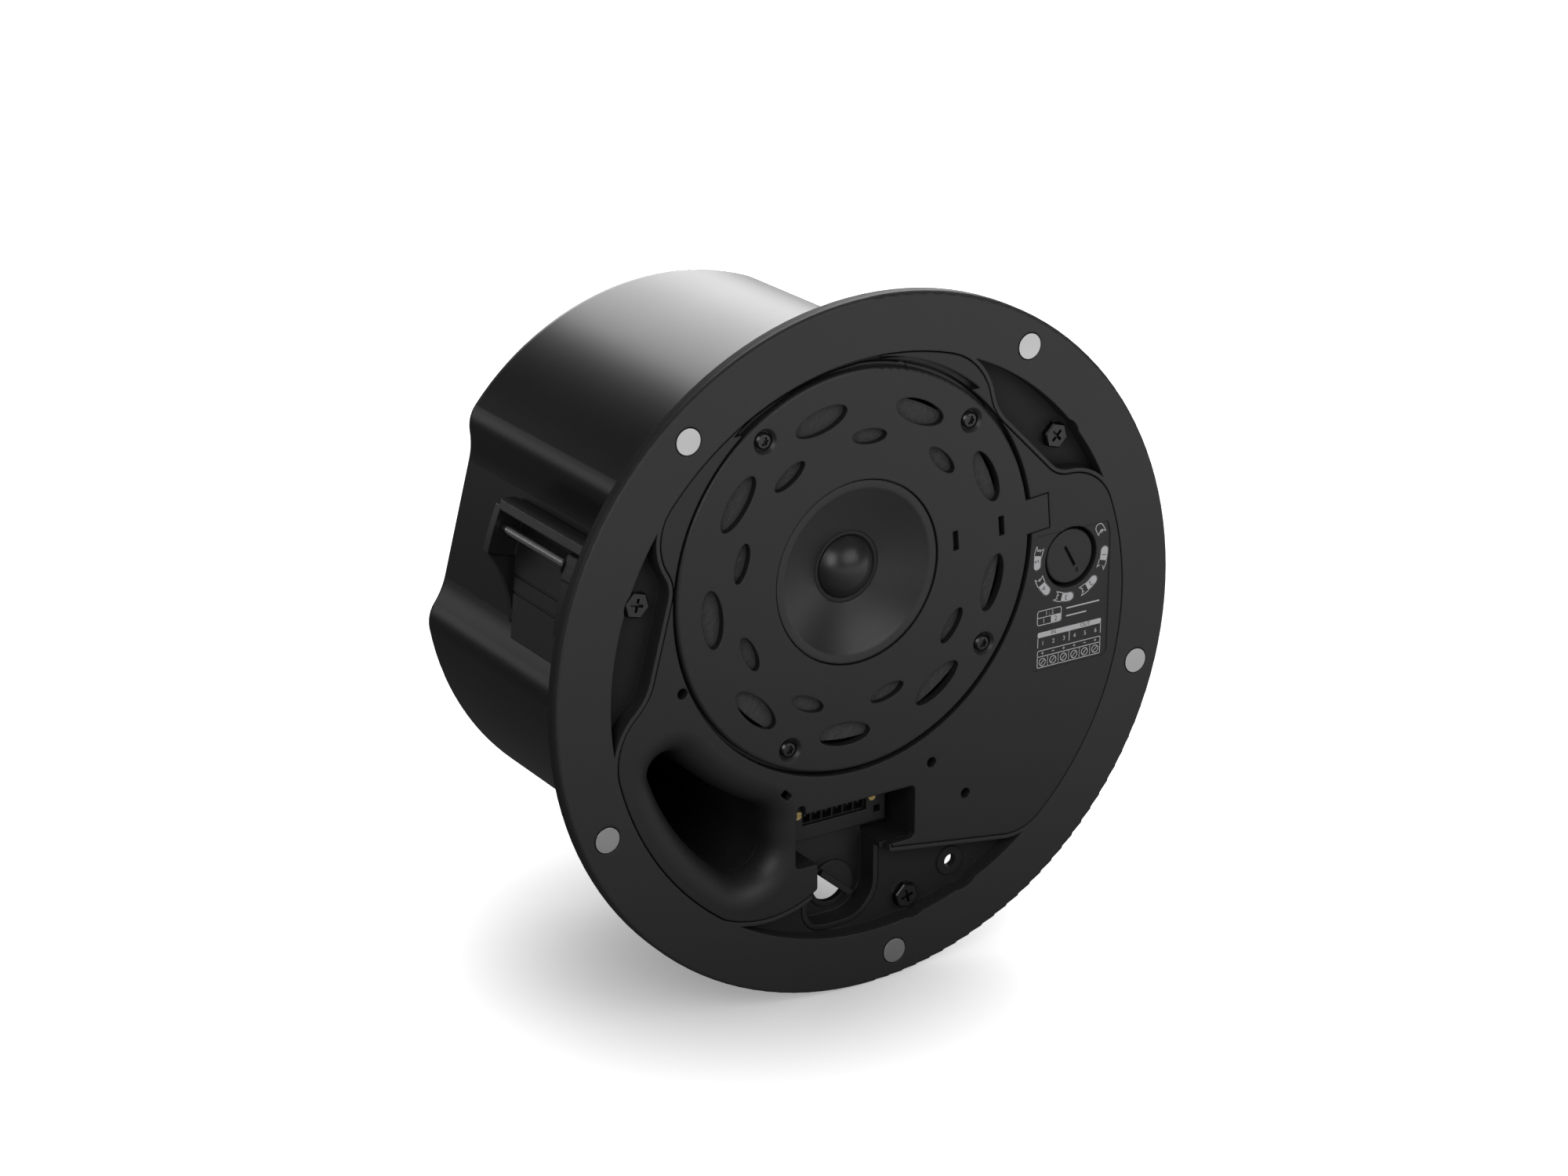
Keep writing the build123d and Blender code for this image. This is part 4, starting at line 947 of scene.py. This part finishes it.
def round_box(left, right, low, high, radius, inset=0.0):
    """Outline of a rectangle with round corners, moved inwards by an inset."""
    radius = max(radius - inset, SMALLEST_CORNER)
    near = inset + radius
    corners = (
        ((right - near, high - near), 0.0),
        ((left + near, high - near), 90.0),
        ((left + near, low + near), 180.0),
        ((right - near, low + near), 270.0),
    )
    points = []
    for centre, start in corners:
        for k in range(CORNER_STEPS + 1):
            points.append(around(centre, radius, radians(start + 90.0 * k / CORNER_STEPS)))
    return points


def disc(x, z, radius):
    """Outline of a round mark."""
    return [around((x, z), radius, 2 * pi * k / DISC_STEPS) for k in range(DISC_STEPS)]


def stroke(bm, start, end, width):
    """A straight line of even width."""
    (x0, z0), (x1, z1) = start, end
    length = hypot(x1 - x0, z1 - z0)
    x, z = -(z1 - z0) / length * width / 2, (x1 - x0) / length * width / 2
    flat_face(bm, [(x0 + x, z0 + z), (x1 + x, z1 + z), (x1 - x, z1 - z), (x0 - x, z0 - z)])


print("print lies at", PRINT_DEPTH, "and", OVERPRINT_DEPTH)

# %% [markdown]
# Figures. Blender's own text object makes the outline of each figure, which is then turned
# upright, set down as plain faces and thrown away. That keeps the label one mesh, and needs
# no font file.

# %% Figures
CURVE_STEPS = 4


def write(bm, text, x, z, size, turn=0.0, depth=PRINT_DEPTH):
    """Plain figures and signs, centred at a point and turned by an angle in degrees."""
    letters = bpy.data.curves.new("figure", "FONT")
    letters.body = text
    letters.size = size * MM
    letters.align_x = "CENTER"
    letters.align_y = "CENTER"
    letters.resolution_u = CURVE_STEPS
    holder = bpy.data.objects.new("figure", letters)
    mesh = bpy.data.meshes.new_from_object(holder)
    upright = Matrix.Rotation(radians(90.0), 4, "X")
    spin = Matrix.Rotation(radians(turn), 4, "Z")
    mesh.transform(Matrix.Translation(place(x, z, depth)) @ upright @ spin)
    bm.from_mesh(mesh)
    bpy.data.meshes.remove(mesh)
    bpy.data.objects.remove(holder)
    bpy.data.curves.remove(letters)


pale = bmesh.new()
dark = bmesh.new()
print("figures ready")

# %% [markdown]
# The ring round the selector: one outlined pill at the top right, then five pills that are
# half filled and half outlined, because each tap serves two line voltages on the real
# thing. Their figures only count the taps. A filled half carries its figure in the dark
# colour of the baffle, so that layer is a second mesh, a hair in front of the first.

# %% The selector's scale
KNOB = (78.3, 17.1)
TAP_RING = 14.2
TAP_ANGLES = (28.0, -16.0, -60.0, -104.0, -148.0, -192.0)
PILL_HALF_ANGLE = 14.0
PILL_HALF_WIDTH = 1.75
PILL_STEPS = 10
SINGLE_SHARE = 0.42
FILL_INSET = 0.05
LINE = 0.28
TAP_FIGURE = 2.5
FIGURE_SHARE = 0.55


def end_cap(angle, half, way):
    """The points of a half circle that closes a band at one end, without its two ends."""
    turn = radians(angle)
    centre = around(KNOB, TAP_RING, turn)
    start = turn if way > 0 else turn + pi
    return [around(centre, half, start + way * pi * k / PILL_STEPS) for k in range(1, PILL_STEPS)]


def bent_pill(middle, half_angle, inset=0.0, whole=True):
    """Outline of a round-ended band on the tap ring, or of its half after the middle."""
    first = middle - half_angle if whole else middle
    last = middle + half_angle
    half = PILL_HALF_WIDTH - inset
    turns = [radians(first + (last - first) * k / PILL_STEPS) for k in range(PILL_STEPS + 1)]
    outline = [around(KNOB, TAP_RING + half, turn) for turn in turns]
    outline += end_cap(last, half, 1)
    outline += [around(KNOB, TAP_RING - half, turn) for turn in reversed(turns)]
    if whole:
        outline += end_cap(first, half, -1)
    return outline


for tap, angle in enumerate(TAP_ANGLES):
    half_angle = PILL_HALF_ANGLE * (1.0 if tap else SINGLE_SHARE)
    flat_band(pale, bent_pill(angle, half_angle), bent_pill(angle, half_angle, LINE))
    figures = [(angle, pale, PRINT_DEPTH)]
    if tap:
        flat_face(pale, bent_pill(angle, half_angle, FILL_INSET, whole=False))
        aside = half_angle * FIGURE_SHARE
        figures = [(angle + aside, dark, OVERPRINT_DEPTH), (angle - aside, pale, PRINT_DEPTH)]
    for turn, layer, depth in figures:
        x, z = around(KNOB, TAP_RING, radians(turn))
        write(layer, str(tap), x, z, TAP_FIGURE, turn - 90.0, depth)
print("taps:", len(TAP_ANGLES))

# %% [markdown]
# The wiring diagram's upper part: a box of two rows with two lines beside it, and under it a
# filled bar, split in two over its brackets. Figures on filled places are in the dark layer.

# %% The diagram's boxes
RATIO_BOX = (64.8, 75.0, -5.2, 0.2)
RATIO_CORNER = 0.9
RATIO_FILLED = (70.6, 74.8, -5.0, -2.5)
RATIO_SPLIT = -2.4
SIDE_LINES = ((91.0, -1.1), (85.5, -3.9))
SIDE_LINE_START = 77.0
SIDE_LINE_WIDTH = 0.5
DIAGRAM_LEFT = 65.2
DIAGRAM_RIGHT = 92.0
DIVIDER = 78.6
BAR = (-9.6, -7.7)
BAR_CORNER = 0.6
BAR_WORDS = -8.6
BRACKET_FOOT = -13.2
SMALL_FIGURE = 2.0
BOX_FIGURE = 2.4


def outline_box(left, right, low, high, radius):
    """A box drawn as a line."""
    outer = round_box(left, right, low, high, radius)
    flat_band(pale, outer, round_box(left, right, low, high, radius, LINE))


outline_box(*RATIO_BOX, RATIO_CORNER)
flat_face(pale, round_box(*RATIO_FILLED, 0.5))
stroke(pale, (65.0, RATIO_SPLIT), (74.8, RATIO_SPLIT), LINE)
write(pale, "1", 67.6, -3.8, BOX_FIGURE)
write(dark, "2", 72.6, -3.8, BOX_FIGURE, depth=OVERPRINT_DEPTH)
write(pale, "1 : 2", 69.9, -1.2, SMALL_FIGURE)
for end, z in SIDE_LINES:
    stroke(pale, (SIDE_LINE_START, z), (end, z), SIDE_LINE_WIDTH)

flat_face(pale, round_box(DIAGRAM_LEFT, DIAGRAM_RIGHT, *BAR, BAR_CORNER))
for x in (DIAGRAM_LEFT + LINE / 2, DIVIDER, DIAGRAM_RIGHT - LINE / 2):
    stroke(pale, (x, BAR[0]), (x, BRACKET_FOOT), LINE)
for word, left, right in (("IN", DIAGRAM_LEFT, DIVIDER), ("OUT", DIVIDER, DIAGRAM_RIGHT)):
    write(dark, word, (left + right) / 2, BAR_WORDS, SMALL_FIGURE, depth=OVERPRINT_DEPTH)
print("faces so far:", len(pale.faces))

# %% [markdown]
# The wiring diagram's lower part: a row of six screw heads with a sign over each, one cell
# for each terminal, and its number above the box.

# %% The diagram's terminals
CELLS = (-20.6, -14.2)
CELL_SPLIT = -16.5
POLES = "+-++-+"
CELL_PITCH = (DIAGRAM_RIGHT - DIAGRAM_LEFT) / len(POLES)
CELL_LINE = 0.2
HEAD_RADII = (1.45, 1.18)
HEAD_SLOT = 0.75
SIGN_HEIGHT = -15.35
SIGN_REACH = 0.5
SIGN_LINE = 0.26
NUMBER_HEIGHT = -11.8
TERMINAL_FIGURE = 2.2

outline_box(DIAGRAM_LEFT, DIAGRAM_RIGHT, *CELLS, BAR_CORNER)
stroke(pale, (DIAGRAM_LEFT, CELL_SPLIT), (DIAGRAM_RIGHT, CELL_SPLIT), LINE)
for k, pole in enumerate(POLES):
    x = DIAGRAM_LEFT + CELL_PITCH * (k + 0.5)
    z = (CELLS[0] + CELL_SPLIT) / 2
    flat_band(pale, *(disc(x, z, radius) for radius in HEAD_RADII))
    stroke(pale, (x - HEAD_SLOT, z - HEAD_SLOT), (x + HEAD_SLOT, z + HEAD_SLOT), SIGN_LINE)
    stroke(pale, (x - SIGN_REACH, SIGN_HEIGHT), (x + SIGN_REACH, SIGN_HEIGHT), SIGN_LINE)
    if pole == "+":
        low, high = SIGN_HEIGHT - SIGN_REACH, SIGN_HEIGHT + SIGN_REACH
        stroke(pale, (x, low), (x, high), SIGN_LINE)
    if k:
        left = x - CELL_PITCH / 2
        stroke(pale, (left, CELLS[0]), (left, CELL_SPLIT), CELL_LINE)
    write(pale, str(k + 1), x, NUMBER_HEIGHT, TERMINAL_FIGURE)
print("terminals:", len(POLES))

# %% [markdown]
# The ink. Screen printed ink is matt and covers very slightly unevenly, so one noise drives
# both its tone and its relief. The pale layer and the dark one differ in tone alone.

# %% Ink
def printing_ink(name, tone):
    """Screen printed ink: matt, very slightly uneven in cover."""
    material, tree, shader = plain_finish(name, grey(tone), 0.6)
    cover = noise_node(tree, 1500.0, rough=0.7)
    tint(tree, shader, grey(tone * 0.8), grey(tone), cover)
    raise_surface(tree, shader, cover, 0.000006)
    return material


print_pale = new_piece("printed_marks", pale, smooth=False)
print_dark = new_piece("printed_figures", dark, smooth=False)
print_pale.data.materials.append(printing_ink("pale_ink", 0.6))
print_dark.data.materials.append(printing_ink("dark_ink", 0.022))
print("marks:", len(print_pale.data.polygons), "figures:", len(print_dark.data.polygons))

# %% [markdown]
# The cloth behind the slots. Through the ovals of the disc the real speaker shows a dark,
# open, slightly shaggy felt that the light rakes across. The construction piece is a flat
# ring, so a fine polar grid takes its place and is lifted by two scales of noise, never by
# more than the room behind the disc.

# %% Cloth
CLOTH_INNER = 33.4
CLOTH_OUTER = 58.0
CLOTH_FRONT = -2.5
CLOTH_RINGS = 90
CLOTH_SPOKES = 900
FLUFF = 0.5
FLUFF_BASE = 0.3
FLUFF_SWING = 0.5
TUFTS = {"pitch": 0.55, "layer": 0.0, "share": 0.55}
FIBRES = {"pitch": 1.6, "layer": 7.0, "share": 0.45}


def fluff(x, z):
    """Height of the fibres at a point, in millimetres."""
    height = 0.0
    for part in (TUFTS, FIBRES):
        spot = Vector((x * part["pitch"], z * part["pitch"], part["layer"]))
        height += part["share"] * noise.noise(spot)
    return FLUFF * height


bm = bmesh.new()
rows = []
for ring in range(CLOTH_RINGS + 1):
    radius = CLOTH_INNER + (CLOTH_OUTER - CLOTH_INNER) * ring / CLOTH_RINGS
    row = []
    for spoke in range(CLOTH_SPOKES):
        x, z = around(DRIVER, radius, 2 * pi * spoke / CLOTH_SPOKES)
        lift = FLUFF * FLUFF_BASE + fluff(x, z) * FLUFF_SWING
        row.append(bm.verts.new(place(x, z, CLOTH_FRONT + lift)))
    rows.append(row)
for row, outside in zip(rows, rows[1:]):
    bridge(bm, row, outside)
cloth = new_piece("felt_behind_slots", bm)
cloth.data.materials.append(FINISH["cloth"])
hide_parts("acoustic_cloth")
print("cloth faces:", len(cloth.data.polygons))

# %% [markdown]
# The size of the visual model: the box of everything shown, without the floor, is printed.
# Close the lesson: the visual model must stay inside the box of the construction.

# %% Sizes
low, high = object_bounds()
print("visual box", [round(v, 4) for v in low], [round(v, 4) for v in high])
